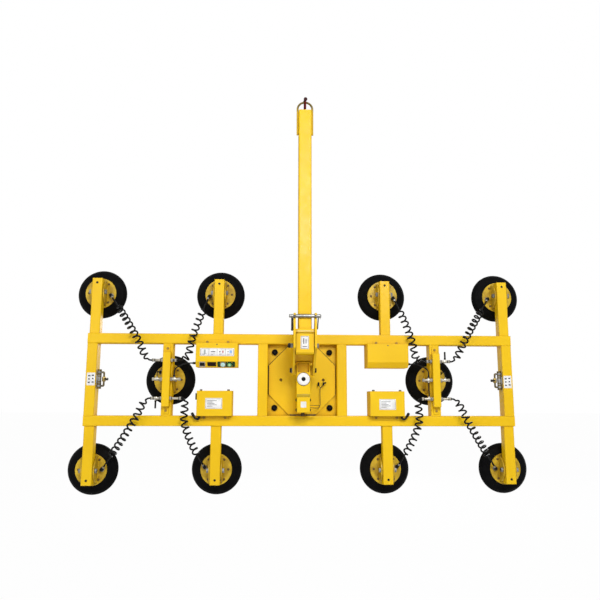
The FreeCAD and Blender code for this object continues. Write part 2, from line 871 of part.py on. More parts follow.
head_bolts = []
nut_start = V(0, back_front + back_thick + rest_clearance, 0)
washer = rod(nut_start, Y_WAY, axle_washer_radius, axle_washer_thick)
nut = hexagon(nut_start + Y_WAY * axle_washer_thick, Y_WAY, axle_nut_flats, axle_nut_thick)
nut = nut.fuse(washer).cut(rod(nut_start, Y_WAY, axle_radius, axle_washer_thick + axle_nut_thick))
head_bolts.append(nut)
for side in both:
    face = V(side * cheek_outer, low_bolt_y, low_bolt_z)
    head_bolts.append(bolt(face, X_WAY * side, low_bolt_flats, low_bolt_head, low_bolt_radius, low_bolt_deep))
    for z in (housing_bottom - side_bolt_in, block_bottom + side_bolt_in):
        face = V(side * block_half, side_bolt_y, z)
        head_bolts.append(hexagon(face, X_WAY * side, side_bolt_flats, side_bolt_head))
write("head_bolts", head_bolts)

# Index plunger with its T-bar
plunger = rod(V(0, plunger_y, tee_z), Z_WAY, plunger_radius, plunger_tip - tee_z)
top_rim = [e for e in plunger.Edges if e.Closed and e.CenterOfMass.z > plunger_tip - plate_edge]
plunger = plunger.makeChamfer(plate_edge, top_rim)
start = V(0, plunger_y, plunger_collar_low)
plunger = plunger.fuse(rod(start, Z_WAY, plunger_collar_radius, plunger_collar_thick))
plunger = plunger.fuse(rod(V(0, plunger_y, tee_z - tee_boss_low), Z_WAY, tee_boss_radius, tee_boss_high))
plunger = plunger.fuse(capped(V(0, plunger_y, tee_z), X_WAY, tee_radius, tee_half, plate_edge))
plunger = plunger.fuse(capped(V(0, plunger_y, tee_z), -X_WAY, tee_radius, tee_half, plate_edge))
write("lock_plunger", [plunger.removeSplitter()])

# Plunger spring between the chamber floor and the collar
spring_low = chamber_low + spring_wire + spring_gap
spring_rise = plunger_collar_low - spring_wire - spring_gap - spring_low
spring_points = []
spring_ways = []
for k in range(4 * spring_turns + 1):
    turn = ROUND * k / 4
    spring_points.append(V(spring_radius * math.cos(turn), plunger_y + spring_radius * math.sin(turn),
                           spring_low + spring_rise * k / (4 * spring_turns)))
    climb = spring_rise / (ROUND * spring_turns)
    spring_ways.append(V(-spring_radius * math.sin(turn), spring_radius * math.cos(turn), climb).normalize())
print("spring gap", round(self_gap(spring_points, spring_wire), 2))
write("plunger_spring", [sweep(biarcs(spring_points, spring_ways), spring_wire)])

# Boom tube, closed at the top, with the flange that sits on the foot
flange_side = cheek_inner - flange_gap
boom_ys = (boom_y - boom_half, boom_y + boom_half)
flange_ys = (boom_y - flange_side, boom_y + flange_side)
boom = bar((-boom_half, boom_half), boom_ys, (boom_bottom, boom_top), Z_WAY, boom_round)
boom = boom.fuse(block((-flange_side, flange_side), flange_ys, (foot_top, foot_top + flange_plate)))
boom_core = boom_half - boom_wall
boom = boom.cut(bar((-boom_core, boom_core), (boom_y - boom_core, boom_y + boom_core),
                    (boom_bottom - boom_wall, boom_top - boom_wall), Z_WAY, boom_round - boom_wall / 2))
pivot_hole = rod(V(-foot_half, boom_y, pivot_z), X_WAY, pivot_radius + hole_clearance, 2 * foot_half)
write("boom_tube", [boom.cut(pivot_hole)])

# Foot sleeve around the lower end of the boom
foot = block((-foot_half, foot_half), (boom_y - foot_half, boom_y + foot_half), (foot_bottom, foot_top))
low_edges = [e for e in foot.Edges
             if abs(e.tangentAt(e.FirstParameter).x) > 0.5 and e.CenterOfMass.z < pivot_z]
foot = foot.makeChamfer(foot_cut, low_edges)
foot = foot.fuse(block((-flange_side, flange_side), flange_ys, (foot_top - flange_plate, foot_top)))
foot = foot.cut(bar((-boom_half, boom_half), boom_ys, (boom_bottom, foot_top), Z_WAY, boom_round))
write("boom_foot", [foot.cut(pivot_hole).removeSplitter()])

# Tilt pivot bolt with head, nut and two washers
pivot_end = cheek_outer + flange_gap
tilt_bolt = [rod(V(-pivot_end, boom_y, pivot_z), X_WAY, pivot_radius, 2 * pivot_end)]
for side in both:
    start = V(side * pivot_end, boom_y, pivot_z)
    tilt_bolt[0] = tilt_bolt[0].fuse(hexagon(start, X_WAY * side, pivot_flats, pivot_head))
    start = V(side * (foot_half + side_play), boom_y, pivot_z)
    washer = rod(start, X_WAY * side, pivot_washer_radius, cheek_gap - 2 * side_play)
    tilt_bolt.append(washer.cut(rod(start, X_WAY * side, pivot_radius + hole_clearance, cheek_gap)))
write("tilt_pivot_bolt", tilt_bolt)

# Lifting bail: a bent bar welded to the sides of the boom
bail_low = boom_top - bail_down
bail = [Part.LineSegment(V(-bail_half, boom_y, bail_low), V(-bail_half, boom_y, bail_centre)),
        Part.Arc(V(-bail_half, boom_y, bail_centre), V(0, boom_y, eye_z), V(bail_half, boom_y, bail_centre)),
        Part.LineSegment(V(bail_half, boom_y, bail_centre), V(bail_half, boom_y, bail_low))]
write("lifting_bail", [sweep(bail, bail_bar)])

# Shackle hanging in the bail, its pin resting on the bar
pin_rest = eye_z + bail_bar + rest_clearance + shackle_bar
bow_z = eye_z - shackle_drop
bow_ys = (boom_y - shackle_bow, boom_y + shackle_bow)
bow = [Part.LineSegment(V(0, bow_ys[0], pin_rest), V(0, bow_ys[0], bow_z)),
       Part.Arc(V(0, bow_ys[0], bow_z), V(0, boom_y, bow_z - shackle_bow), V(0, bow_ys[1], bow_z)),
       Part.LineSegment(V(0, bow_ys[1], bow_z), V(0, bow_ys[1], pin_rest))]
shackle = sweep(bow, shackle_bar)
for side in both:
    eye = V(0, boom_y + side * (shackle_bow - shackle_eye_wide / 2), pin_rest)
    shackle = shackle.fuse(rod(eye, Y_WAY * side, shackle_eye_radius, shackle_eye_wide))
pin_reach = shackle_bow + shackle_eye_wide / 2 + shackle_pin_out
pin_foot = V(0, boom_y - pin_reach, pin_rest)
shackle_hole = rod(pin_foot, Y_WAY, shackle_bar + hole_clearance, 2 * pin_reach)
shackle_pin = rod(pin_foot, Y_WAY, shackle_bar, 2 * pin_reach)
shackle_pin = shackle_pin.fuse(rod(pin_foot, Y_WAY, shackle_pin_head, shackle_pin_out - rest_clearance))
shackle_pieces = [shackle.cut(shackle_hole).removeSplitter(), shackle_pin]
for piece in shackle_pieces:
    piece.rotate(V(0, boom_y, 0), Z_WAY, shackle_turn)
write("lifting_shackle", shackle_pieces)

# Lock pin with its hanging handle
lock_pin = rod(V(-pin_half, pin_y, pin_z), X_WAY, pin_radius, 2 * pin_half)
lock_pin = lock_pin.makeFillet(pin_edge, [e for e in lock_pin.Edges if e.Closed])
lock_pin = lock_pin.fuse(rod(V(handle_x, pin_y, pin_z - handle_long), Z_WAY, handle_radius, handle_long))
start = V(pin_half - pin_cotter_in, pin_y - pin_radius, pin_z)
lock_pin = lock_pin.cut(rod(start, Y_WAY, pin_cotter_radius, 2 * pin_radius))
write("lock_pin", [lock_pin.removeSplitter()])


# Slanted panel between the front and the floor of a box: ways along the slope and inward
panel_slope = math.atan2(box_low - box_low_front, panel_deep)
panel_along = V(0, math.cos(panel_slope), math.sin(panel_slope))
panel_in = V(0, -math.sin(panel_slope), math.cos(panel_slope))
panel_length = math.hypot(box_low - box_low_front, panel_deep)
front_turn = box_wall * (1.0 - panel_in.y) / panel_in.z
foot_turn = box_wall * (1.0 - panel_in.z) / panel_in.y


# Box with a slanted lower front, open at the back
def wedge_box(x):
    outline = [(box_front, beam_inner), (box_back, beam_inner), (box_back, box_low), (panel_foot, box_low),
               (box_front, box_low_front)]
    shell = slab_x(outline, x - box_half, x + box_half)
    shell = shell.makeFillet(box_round, [e for e in shell.Edges if e.CenterOfMass.y < box_front + box_wall
                                         and e.CenterOfMass.z < beam_inner - box_wall])
    inner = [(box_front + box_wall, beam_inner - box_wall), (box_back, beam_inner - box_wall),
             (box_back, box_low + box_wall), (panel_foot + foot_turn, box_low + box_wall),
             (box_front + box_wall, box_low_front + front_turn)]
    shell = shell.cut(slab_x(inner, x - box_half + box_wall, x + box_half - box_wall))
    shell = shell.fuse(block((x - flange_half, x + flange_half), (-flange_thick, 0),
                             (beam_inner - box_wall, beam_inner + flange_high)))
    for off in both:
        spot = V(x + off * flange_bolt_x, -2 * flange_thick, beam_inner + flange_bolt_in)
        shell = shell.cut(rod(spot, Y_WAY, box_bolt_radius + rest_clearance, 3 * flange_thick))
    return shell.removeSplitter()


# Control box, with holes and collars on its panel
control = wedge_box(-inner_arm_x)
panel_mid = V(-inner_arm_x, box_front, box_low_front) + panel_along * (panel_length * panel_mid_share)
half_wall = box_wall / 2
for off, radius in ((start_off, start_radius), (stop_off, stop_radius)):
    spot = panel_mid + X_WAY * off
    collar = rod(spot + panel_in * half_wall, -panel_in, radius + collar_wide, collar_out + half_wall)
    control = control.fuse(collar)
    control = control.cut(rod(spot - panel_in * button_in, panel_in, radius + hole_clearance, 2 * button_in))
slot_long = switch_half + switch_slot_clearance
slot_wide = switch_radius + switch_slot_clearance
switch_mid = panel_mid + X_WAY * switch_off
slot = Part.makeBox(2 * slot_long, 2 * slot_wide, 4 * box_wall)
slot_corner = switch_mid - X_WAY * slot_long - panel_along * slot_wide - panel_in * (2 * box_wall)
slot.Placement = FreeCAD.Placement(slot_corner, FreeCAD.Rotation(X_WAY, math.degrees(panel_slope)))
write("control_box", [control.cut(slot).removeSplitter()])
write("pump_box", [wedge_box(inner_arm_x)])

# Rocker switch and push buttons
axis_at = switch_mid + panel_in * switch_sunk
rocker = rod(axis_at - X_WAY * switch_half, X_WAY, switch_radius, 2 * switch_half)
for side in both:
    cutter = Part.makeBox(2 * switch_radius * 2, 4 * switch_radius, switch_radius)
    turn = panel_slope + math.radians(side * switch_face_turn)
    along = V(0, math.cos(turn), math.sin(turn))
    inward = V(0, -math.sin(turn), math.cos(turn))
    corner = axis_at - inward * (switch_sunk + switch_face_out + switch_radius)
    corner = corner - along * (2 * switch_radius) - X_WAY * (2 * switch_radius)
    cutter.Placement = FreeCAD.Placement(corner, FreeCAD.Rotation(X_WAY, math.degrees(turn)))
    rocker = rocker.cut(cutter)
write("power_switch", [rocker])
for node, off, radius in (("start_button", start_off, start_radius), ("stop_button", stop_off, stop_radius)):
    spot = panel_mid + X_WAY * off + panel_in * button_in
    write(node, [capped(spot, -panel_in, radius, button_in + button_out, button_edge)])

# Battery boxes, open at the top under their covers
battery_shells = []
batteries = []
covers = []
for side in both:
    x = side * inner_arm_x + battery_shift
    xs = (x - battery_half, x + battery_half)
    ys = (battery_front, box_back)
    shell = bar(xs, ys, (-beam_inner, battery_top), Z_WAY, box_round)
    floor = box_wall - beam_inner
    shell = shell.cut(block((xs[0] + box_wall, xs[1] - box_wall), (ys[0] + box_wall, ys[1] - box_wall),
                            (floor, battery_top)))
    shell = shell.fuse(block((x - flange_half, x + flange_half), (-flange_thick, 0),
                             (-beam_inner - flange_high, floor)))
    for off in both:
        spot = V(x + off * flange_bolt_x, -2 * flange_thick, -beam_inner - flange_bolt_in)
        shell = shell.cut(rod(spot, Y_WAY, box_bolt_radius + rest_clearance, 3 * flange_thick))
    battery_shells.append(shell.removeSplitter())
    batteries.append(bar((xs[0] + cell_side_gap, xs[1] - cell_side_gap),
                         (ys[0] + cell_deep_gap, ys[1] - cell_deep_gap),
                         (floor, battery_top - cell_head_gap), Z_WAY, box_round))
    covers.append(bar(xs, ys, (battery_top, battery_top + cover_thick), Z_WAY, box_round))
    middle = side * inner_arm_x
    covers.append(block((middle - box_half + cover_inset, middle + box_half - cover_inset),
                        (box_back, box_back + cover_thick),
                        (box_low + cover_inset, beam_inner - cover_inset)))
write("battery_boxes", battery_shells)
write("batteries", batteries)
write("box_covers", covers)

# Vacuum pump under the top of the pump box
pump_top = beam_inner - box_wall
pump_mid_y = (box_front + box_back) / 2
pump = bar((inner_arm_x - pump_half, inner_arm_x + pump_half),
           (pump_mid_y - pump_half_deep, pump_mid_y + pump_half_deep),
           (pump_top - pump_high, pump_top), Z_WAY, box_round)
motor_start = V(inner_arm_x + pump_half, pump_mid_y, pump_top - pump_high / 2)
write("vacuum_pump", [pump.fuse(rod(motor_start, X_WAY, motor_radius, motor_length))])

# Bolts of the boxes and of the manifold bars
box_bolts = []
for spot in beam_bolts:
    box_bolts.append(bolt(spot - Y_WAY * flange_thick, -Y_WAY, box_bolt_flats, box_bolt_head, box_bolt_radius,
                          flange_thick + tube_wall))
for side in both:
    for off in both:
        lid_x = side * inner_arm_x + battery_shift + off * lid_bolt_x
        face = V(lid_x, lid_bolt_y, battery_top + cover_thick)
        box_bolts.append(hexagon(face, Z_WAY, box_bolt_flats, lid_bolt_head))
        face = V(side * mid_post_x, -tab_thick, off * (bar_half_high + tab_bolt_in))
        box_bolts.append(bolt(face, -Y_WAY, box_bolt_flats, box_bolt_head, box_bolt_radius,
                              tab_thick + tube_wall))
write("box_bolts", box_bolts)

# Fitting on a manifold bar: hexagon, stem and nut, with side branches (place, way, radius, length)
def fitting(start, out, length, branches):
    piece = hexagon(start, out, fitting_flats, fitting_hex).fuse(rod(start, out, fitting_radius, length))
    piece = piece.fuse(hexagon(start + out * (length - nut_long), out, nut_flats, nut_long))
    for place, way, radius, reach in branches:
        piece = piece.fuse(rod(start + out * place, way, radius, reach))
    return piece.removeSplitter()


# Manifold bars on the middle posts
manifolds = []
fittings = []
fitting_y = -bar_deep / 2
for side in both:
    x = side * mid_post_x
    body = block((x - bar_half, x + bar_half), (-bar_deep, 0), (-bar_half_high, bar_half_high))
    body = body.makeChamfer(bar_edge, [e for e in body.Edges if e.CenterOfMass.y < -bar_edge])
    for up in both:
        ends = sorted((up * bar_half_high, up * (bar_half_high + tab_length)))
        body = body.fuse(block((x - tab_half, x + tab_half), (-tab_thick, 0), ends))
        start = V(x, -2 * tab_thick, up * (bar_half_high + tab_bolt_in))
        body = body.cut(rod(start, Y_WAY, box_bolt_radius + rest_clearance, 3 * tab_thick))
    manifolds.append(body.removeSplitter())

    outward = X_WAY * side
    outer_face = x + side * bar_half
    inner_face = x - side * bar_half
    for up in both:
        z = up * hose_fitting_z
        tail = [(outer_node, Z_WAY * up, tail_radius, tail_long)] if up == side else []
        fittings.append(fitting(V(outer_face, fitting_y, z), outward, outer_fitting, tail))
        length = upper_fitting if up > 0 else lower_fitting
        stub = [(tee_inner_node, Z_WAY, branch_radius, branch_long)] if up < 0 < side else []
        fittings.append(fitting(V(inner_face, fitting_y, z), -outward, length, stub))
    stub = [(tee_outer_node, Z_WAY, branch_radius, branch_long)]
    fittings.append(fitting(V(outer_face, fitting_y, 0), outward, tee_fitting, stub))
    stub = [(tee_inner_node, Z_WAY, branch_radius, branch_long)]
    if side > 0:
        stub.append((tee_inner_node, -Z_WAY, branch_radius, branch_long))
    fittings.append(fitting(V(inner_face, fitting_y, 0), -outward, tee_fitting, stub))
write("manifold_bars", manifolds)
write("manifold_fittings", fittings)

# Air hoses: eight coils and two short links to the middle cups
hoses = []
for name, x, z, port, drop in cup_spots:
    side = 1 if x > 0 else -1
    spot = port_spot(x, z, port, drop)
    if z == 0:
        node_x = x + side * (bar_half + tee_outer_node)
        hoses.append(bent_tube([V(node_x, fitting_y, branch_long),
                                V(node_x, fitting_y, branch_long + link_rise),
                                V(node_x, fitting_y + link_over_y, spot.z + link_over_z),
                                V(node_x, fitting_y + link_level_y, spot.z),
                                V(node_x, port_front, spot.z)], link_radius))
        continue
    up = 1 if z > 0 else -1
    lean = hose_way(x, z, port)
    way = V(lean).normalize()
    start = spot + way * nipple_length
    first = start + way * (2 * hose_radius)
    if abs(x) == outer_arm_x:
        out, length, run, turns = side, outer_fitting, outer_run, outer_turns
    elif z > 0:
        out, length, run, turns = -side, upper_fitting, upper_run, inner_turns
    else:
        out, length, run, turns = -side, lower_fitting, lower_run, inner_turns
    end = V(side * mid_post_x + out * (bar_half + length), fitting_y, up * hose_fitting_z)
    last = end + X_WAY * (out * 2 * hose_radius)
    route = (first, first + lean, last + X_WAY * (out * run), last)
    hoses.append(coiled_hose(start, route, end, turns))
write("air_hoses", hoses)

# Supply tubes to the manifolds, a link between two fittings and battery leads
lines = []
for side in both:
    box_face = side * (inner_arm_x + box_half)
    node_x = side * (mid_post_x - bar_half - tee_inner_node)
    bend_x = box_face + (node_x - box_face) * supply_run_share
    supply_z = beam_inner - supply_box_down
    lines.append(bent_tube([V(box_face, supply_y, supply_z), V(bend_x, supply_y, supply_z),
                            V(node_x, fitting_y, supply_node_up), V(node_x, fitting_y, branch_long)],
                           supply_radius))
    if side > 0:
        low = V(node_x, fitting_y, branch_long - hose_fitting_z)
        lines.append(rod(low, Z_WAY, supply_radius, hose_fitting_z - 2 * branch_long))
    lead_x = side * inner_arm_x + battery_shift + side * (battery_half - lead_in)
    low = -beam_inner - lead_drop
    lines.append(bent_tube([V(lead_x, lead_y, -beam_inner), V(lead_x, lead_y, low),
                            V(lead_x + side * lead_across, lead_y, low),
                            V(lead_x + side * (lead_across + lead_out), lead_y, low + lead_rise)],
                           lead_radius))
write("supply_lines", lines)

# Hand valves on the outer posts, each with a lever
valves = []
for side, node in ((-1, "valve_lever_left"), (1, "valve_lever_right")):
    face = side * (outer_post_x - tube_wide / 2)
    inward = X_WAY * -side
    stack_x = face - side * valve_out
    loop_x = face - side * valve_loop_out
    body = capped(V(stack_x, valve_y, 0), Z_WAY, valve_radius, valve_half_high, plate_edge)
    body = body.fuse(capped(V(stack_x, valve_y, 0), -Z_WAY, valve_radius, valve_half_high, plate_edge))
    body = body.fuse(block(sorted((face, stack_x)), (valve_y - valve_foot_half, valve_y + valve_foot_half),
                           (-valve_foot_half_high, valve_foot_half_high)))
    for up in both:
        start = V(stack_x, valve_y, up * valve_loop_z - valve_flange_thick / 2)
        body = body.fuse(rod(start, Z_WAY, valve_flange_radius, valve_flange_thick))
    body = body.fuse(bent_tube([V(stack_x, valve_y, valve_loop_z), V(loop_x, valve_y, valve_loop_z),
                                V(loop_x, valve_y, -valve_loop_z), V(stack_x, valve_y, -valve_loop_z)],
                               valve_loop_radius))
    for up in both:
        body = body.fuse(capped(V(loop_x, valve_y, 0), Z_WAY * up, ball_radius, ball_half, ball_edge))
    body = body.fuse(rod(V(loop_x, valve_y, 0), inward, stem_radius, stem_out - valve_loop_out))
    valves.append(body.removeSplitter())
    hub_start = V(face, valve_y, 0) + inward * (stem_out + lever_gap)
    lever = rod(hub_start, inward, lever_hub, lever_wide)
    blade_xs = sorted((hub_start.x, hub_start.x - side * lever_wide))
    blade = block(blade_xs, (valve_y - lever_reach, valve_y), (-lever_half_high, lever_half_high))
    write(node, [lever.fuse(blade).removeSplitter()])
write("hand_valves", valves)
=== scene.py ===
import json
import math
import random
import bmesh
import bpy
from mathutils import Matrix, Vector


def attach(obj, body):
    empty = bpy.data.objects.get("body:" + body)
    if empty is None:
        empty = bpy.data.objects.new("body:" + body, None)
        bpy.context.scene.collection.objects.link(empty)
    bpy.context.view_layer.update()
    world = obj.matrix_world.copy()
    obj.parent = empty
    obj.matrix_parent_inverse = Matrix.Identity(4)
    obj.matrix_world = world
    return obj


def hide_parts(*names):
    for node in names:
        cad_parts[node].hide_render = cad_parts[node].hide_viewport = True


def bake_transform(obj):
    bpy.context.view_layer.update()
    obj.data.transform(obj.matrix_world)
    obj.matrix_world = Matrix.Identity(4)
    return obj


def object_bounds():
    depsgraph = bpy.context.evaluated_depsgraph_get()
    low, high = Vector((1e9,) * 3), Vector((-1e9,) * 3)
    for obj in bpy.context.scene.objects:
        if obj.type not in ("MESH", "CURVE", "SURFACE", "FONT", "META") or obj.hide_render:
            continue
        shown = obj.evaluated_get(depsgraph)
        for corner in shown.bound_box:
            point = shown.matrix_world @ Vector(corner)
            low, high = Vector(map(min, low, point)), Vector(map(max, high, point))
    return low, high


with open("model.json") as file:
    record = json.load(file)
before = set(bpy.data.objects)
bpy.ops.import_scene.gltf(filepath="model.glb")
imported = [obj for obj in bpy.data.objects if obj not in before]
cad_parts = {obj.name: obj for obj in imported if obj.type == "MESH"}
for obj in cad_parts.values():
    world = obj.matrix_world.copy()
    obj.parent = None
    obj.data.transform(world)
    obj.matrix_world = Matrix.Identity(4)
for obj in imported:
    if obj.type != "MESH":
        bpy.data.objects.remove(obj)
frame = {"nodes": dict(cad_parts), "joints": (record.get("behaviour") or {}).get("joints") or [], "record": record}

random.seed(11)
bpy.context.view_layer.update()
nodes = frame["nodes"]
joints = {j["name"]: j for j in frame["joints"]}
hub = Vector(joints["frame_turn"]["pos_m"])
X = Vector((1, 0, 0))
Y = Vector((0, 1, 0))
Z = Vector((0, 0, 1))
MM = 0.001
both = (-1, 1)


# Layout point in millimetres from the main axle, as a point of the model in metres
def at(x, y, z):
    return hub + Vector((x, y, z)) * MM


# Place of a hinge in the layout, in millimetres
def hinge(name):
    return (Vector(joints[name]["pos_m"]) - hub) / MM


# Main places of the layout in millimetres: x to the right, y from the hand side to the glass, z up
MID = hinge("cup_middle_right_tip").x
ARM = hinge("cup_upper_right_inner_tip").x
PIVOT = hinge("head_tilt")
BEAM_INNER = 212
BEAM_OUTER = 272
POST_OUT = 1248
POST_IN = 237
POST_HALF = 30
BOOM_HALF = 38
FLANGE_HALF = 52.5
FLANGE_Z = 263
PIN_Y = -288.3
PIN_Z = 345
BATTERY_SHIFT = -8
BATTERY_HALF = 102.5
BATTERY_FRONT = -50
BATTERY_TOP = -70
BOX_FRONT = -55
BOX_HALF = 123
BAR_HALF = 22
FIT_Y = -20
FIT_Z = 111
OUTER_FIT = 62
UPPER_FIT = 34
LOWER_FIT = 68
OUTER_NODE = 36
TEE_OUTER_NODE = 33
TEE_INNER_NODE = 23
BRANCH = 15
ARM_FRONT = 10
ARM_BACK = 70
TIP_HOLE = 580

# Materials
EDGE_ROUND = 0.0016
FINE_ROUND = 0.0006
# Sockets of the colour mix node, which share their names with its other kinds
MIX_SHARE, MIX_A, MIX_B, MIX_RESULT = 0, 6, 7, 2


def new_material(name, color, rough, metal=0.0, coat=0.0, shine=0.5):
    mat = bpy.data.materials.new(name)
    mat.use_nodes = True
    shader = mat.node_tree.nodes["Principled BSDF"]
    shader.inputs["Base Color"].default_value = (*color, 1)
    shader.inputs["Roughness"].default_value = rough
    shader.inputs["Metallic"].default_value = metal
    shader.inputs["Coat Weight"].default_value = coat
    shader.inputs["Coat Roughness"].default_value = 0.12
    shader.inputs["Specular IOR Level"].default_value = shine
    return mat


def node(mat, kind, **sockets):
    made = mat.node_tree.nodes.new(kind)
    for key, value in sockets.items():
        made.inputs[key.replace("_", " ")].default_value = value
    return made


def link(mat, a, out, b, into):
    mat.node_tree.links.new(a.outputs[out], b.inputs[into])


# Noise in the part's own coordinates, stretched along chosen axes
def noise(mat, scale, detail=3.0, stretch=(1, 1, 1)):
    coords = node(mat, "ShaderNodeTexCoord")
    place = node(mat, "ShaderNodeMapping", Scale=stretch)
    made = node(mat, "ShaderNodeTexNoise", Scale=scale, Detail=detail)
    link(mat, coords, "Object", place, "Vector")
    link(mat, place, "Vector", made, "Vector")
    return made


# Value ramp between two numbers
def spread(mat, source, low, high, from_low=0.3, from_high=0.7, out=0):
    made = node(mat, "ShaderNodeMapRange")
    made.inputs["From Min"].default_value = from_low
    made.inputs["From Max"].default_value = from_high
    made.inputs["To Min"].default_value = low
    made.inputs["To Max"].default_value = high
    link(mat, source, out, made, "Value")
    return made


# Colour that wanders between two tones
def mottle(mat, source, a, b, low=0.35, high=0.65):
    ramp = node(mat, "ShaderNodeValToRGB")
    ramp.color_ramp.elements[0].position = low
    ramp.color_ramp.elements[0].color = (*a, 1)
    ramp.color_ramp.elements[1].position = high
    ramp.color_ramp.elements[1].color = (*b, 1)
    link(mat, source, 0, ramp, "Fac")
    return ramp


# Mix of a colour output and a fixed colour
def blend_colour(mat, share, source, out, tone):
    mix = node(mat, "ShaderNodeMix")
    mix.data_type = "RGBA"
    link(mat, share, 0, mix, MIX_SHARE)
    link(mat, source, out, mix, MIX_A)
    mix.inputs[MIX_B].default_value = (*tone, 1)
    return mix


# Fine relief, with edges that look rounded
def bump(mat, source, strength, distance, round_edges=0.0):
    shader = mat.node_tree.nodes["Principled BSDF"]
    made = node(mat, "ShaderNodeBump", Strength=strength, Distance=distance)
    link(mat, source, 0, made, "Height")
    if round_edges:
        edge = node(mat, "ShaderNodeBevel", Radius=round_edges)
        edge.samples = 4
        link(mat, edge, "Normal", made, "Normal")
    link(mat, made, "Normal", shader, "Normal")


# Painted steel: wandering tone, soft orange peel, and painted shade that darkens the corners where ambient
# occlusion finds near surfaces
def paint(name, tone, deep, corner_tone, rough=0.34, coat=0.06, shine=0.22, reach=0.035, patch=3.2):
    mat = new_material(name, tone, rough, 0.0, coat, shine)
    shader = mat.node_tree.nodes["Principled BSDF"]
    tones = mottle(mat, noise(mat, patch, 5.0), deep, tone)
    shade = node(mat, "ShaderNodeAmbientOcclusion", Distance=reach)
    shade.samples = 6
    corners = spread(mat, shade, 0.85, 0.0, 0.08, 0.72, "AO")
    # Painted shade: the corner tone is mixed into the colour where surfaces crowd together
    shaded = blend_colour(mat, corners, tones, "Color", corner_tone)
    link(mat, shaded, MIX_RESULT, shader, "Base Color")
    gloss = spread(mat, noise(mat, 38.0, 6.0), rough - 0.06, rough + 0.16)
    link(mat, gloss, 0, shader, "Roughness")
    # Faces seen edge-on keep their colour instead of mirroring the white room
    facing = node(mat, "ShaderNodeLayerWeight", Blend=0.5)
    mirror = spread(mat, facing, shine, 0.0, 0.5, 0.82, "Facing")
    link(mat, mirror, 0, shader, "Specular IOR Level")
    bump(mat, noise(mat, 520.0, 2.0), 0.05, 0.0006, EDGE_ROUND)
    return mat


# Bare or plated metal with brushed grain
def metal(name, tone, rough, stretch=(1, 1, 14)):
    mat = new_material(name, tone, rough, 1.0)
    shader = mat.node_tree.nodes["Principled BSDF"]
    grain = noise(mat, 90.0, 5.0, stretch)
    dark = tuple(c * 0.6 for c in tone)
    link(mat, mottle(mat, noise(mat, 24.0, 4.0), dark, tone), "Color", shader, "Base Color")
    link(mat, spread(mat, grain, rough - 0.1, rough + 0.14), 0, shader, "Roughness")
    bump(mat, grain, 0.06, 0.0003, FINE_ROUND)
    return mat


# Plastic, rubber, paper and print: slight mottle and grain
def plastic(name, tone, rough, grain=260.0, strength=0.08, coat=0.0, shine=0.5):
    mat = new_material(name, tone, rough, 0.0, coat, shine)
    shader = mat.node_tree.nodes["Principled BSDF"]
    pale = tuple(min(1.0, c * 1.35 + 0.001) for c in tone)
    link(mat, mottle(mat, noise(mat, 30.0, 5.0), tone, pale), "Color", shader, "Base Color")
    gloss = spread(mat, noise(mat, 55.0, 4.0), rough - 0.07, rough + 0.12)
    link(mat, gloss, 0, shader, "Roughness")
    bump(mat, noise(mat, grain, 3.0), strength, 0.0004, FINE_ROUND)
    return mat


# Paint that changes to another tone between two heights, in metres from the lifting eye: a black head on the
# shackle, a dark olive arch on the bail
def tone_above(mat, low, high, tone):
    shader = mat.node_tree.nodes["Principled BSDF"]
    coords = node(mat, "ShaderNodeTexCoord")
    axes = node(mat, "ShaderNodeSeparateXYZ")
    link(mat, coords, "Object", axes, "Vector")
    height = spread(mat, axes, 0.0, 1.0, low, high, "Z")
    painted = shader.inputs["Base Color"].links[0].from_node
    toned = blend_colour(mat, height, painted, MIX_RESULT, tone)
    link(mat, toned, MIX_RESULT, shader, "Base Color")
    return mat


YELLOW = (0.93, 0.595, 0.005)
DEEP_YELLOW = (0.88, 0.54, 0.004)
# Tone of the painted shade in corners, creases and gaps
CORNER_SHADE = (0.2, 0.085, 0.002)
yellow = paint("yellow_paint", YELLOW, DEEP_YELLOW, CORNER_SHADE)
# Same paint whose painted corner shade reaches only 14 mm
short_shade_yellow = paint("short_shade_paint", YELLOW, DEEP_YELLOW, CORNER_SHADE, reach=0.014)
# Cup plates: a duller, darker yellow as painted shade for plates behind the arms, with a coarse random mottle
shaded_plate_yellow = paint("shaded_plate_paint", (0.74, 0.5, 0.03), (0.45, 0.28, 0.018), CORNER_SHADE, patch=26.0)
# Bail: a deeper yellow as painted shade behind the boom front; the arch turns dark olive above the legs
shaded_bail_yellow = paint("shaded_bail_paint", (0.74, 0.46, 0.005), (0.66, 0.4, 0.004), CORNER_SHADE)
shaded_bail_yellow = tone_above(shaded_bail_yellow, -0.075, -0.03, (0.17, 0.115, 0.008))
red = paint("red_paint", (0.13, 0.004, 0.006), (0.08, 0.003, 0.004), (0.02, 0.002, 0.002),
            rough=0.5, coat=0.0, shine=0.12)
red = tone_above(red, -0.006, 0.004, (0.04, 0.008, 0.008))
# Olive paint for the strip of painted shade below the housing
shade_olive = paint("shade_olive_paint", (0.52, 0.36, 0.014), (0.44, 0.29, 0.012), CORNER_SHADE, reach=0.014)
rubber = plastic("black_rubber", (0.003, 0.003, 0.0032), 0.5, 420.0, 0.16, 0.0, 0.03)
hose_black = plastic("hose_black", (0.0035, 0.0035, 0.004), 0.4, 700.0, 0.03, 0.0, 0.12)
black = plastic("black_plastic", (0.005, 0.005, 0.0055), 0.5, 600.0, 0.12, 0.0, 0.16)
white = plastic("white_plastic", (0.8, 0.8, 0.78), 0.35, 300.0, 0.03, 0.2)
green = plastic("green_plastic", (0.09, 0.3, 0.1), 0.25, 300.0, 0.02, 0.3)
pale_green = plastic("lens_green", (0.42, 0.72, 0.4), 0.25, 300.0, 0.02, 0.3)
cyan = plastic("cyan_plastic", (0.5, 0.86, 0.78), 0.22, 300.0, 0.02, 0.3)
dark_green = plastic("panel_green", (0.006, 0.045, 0.018), 0.4, 300.0, 0.02, 0.0, 0.2)
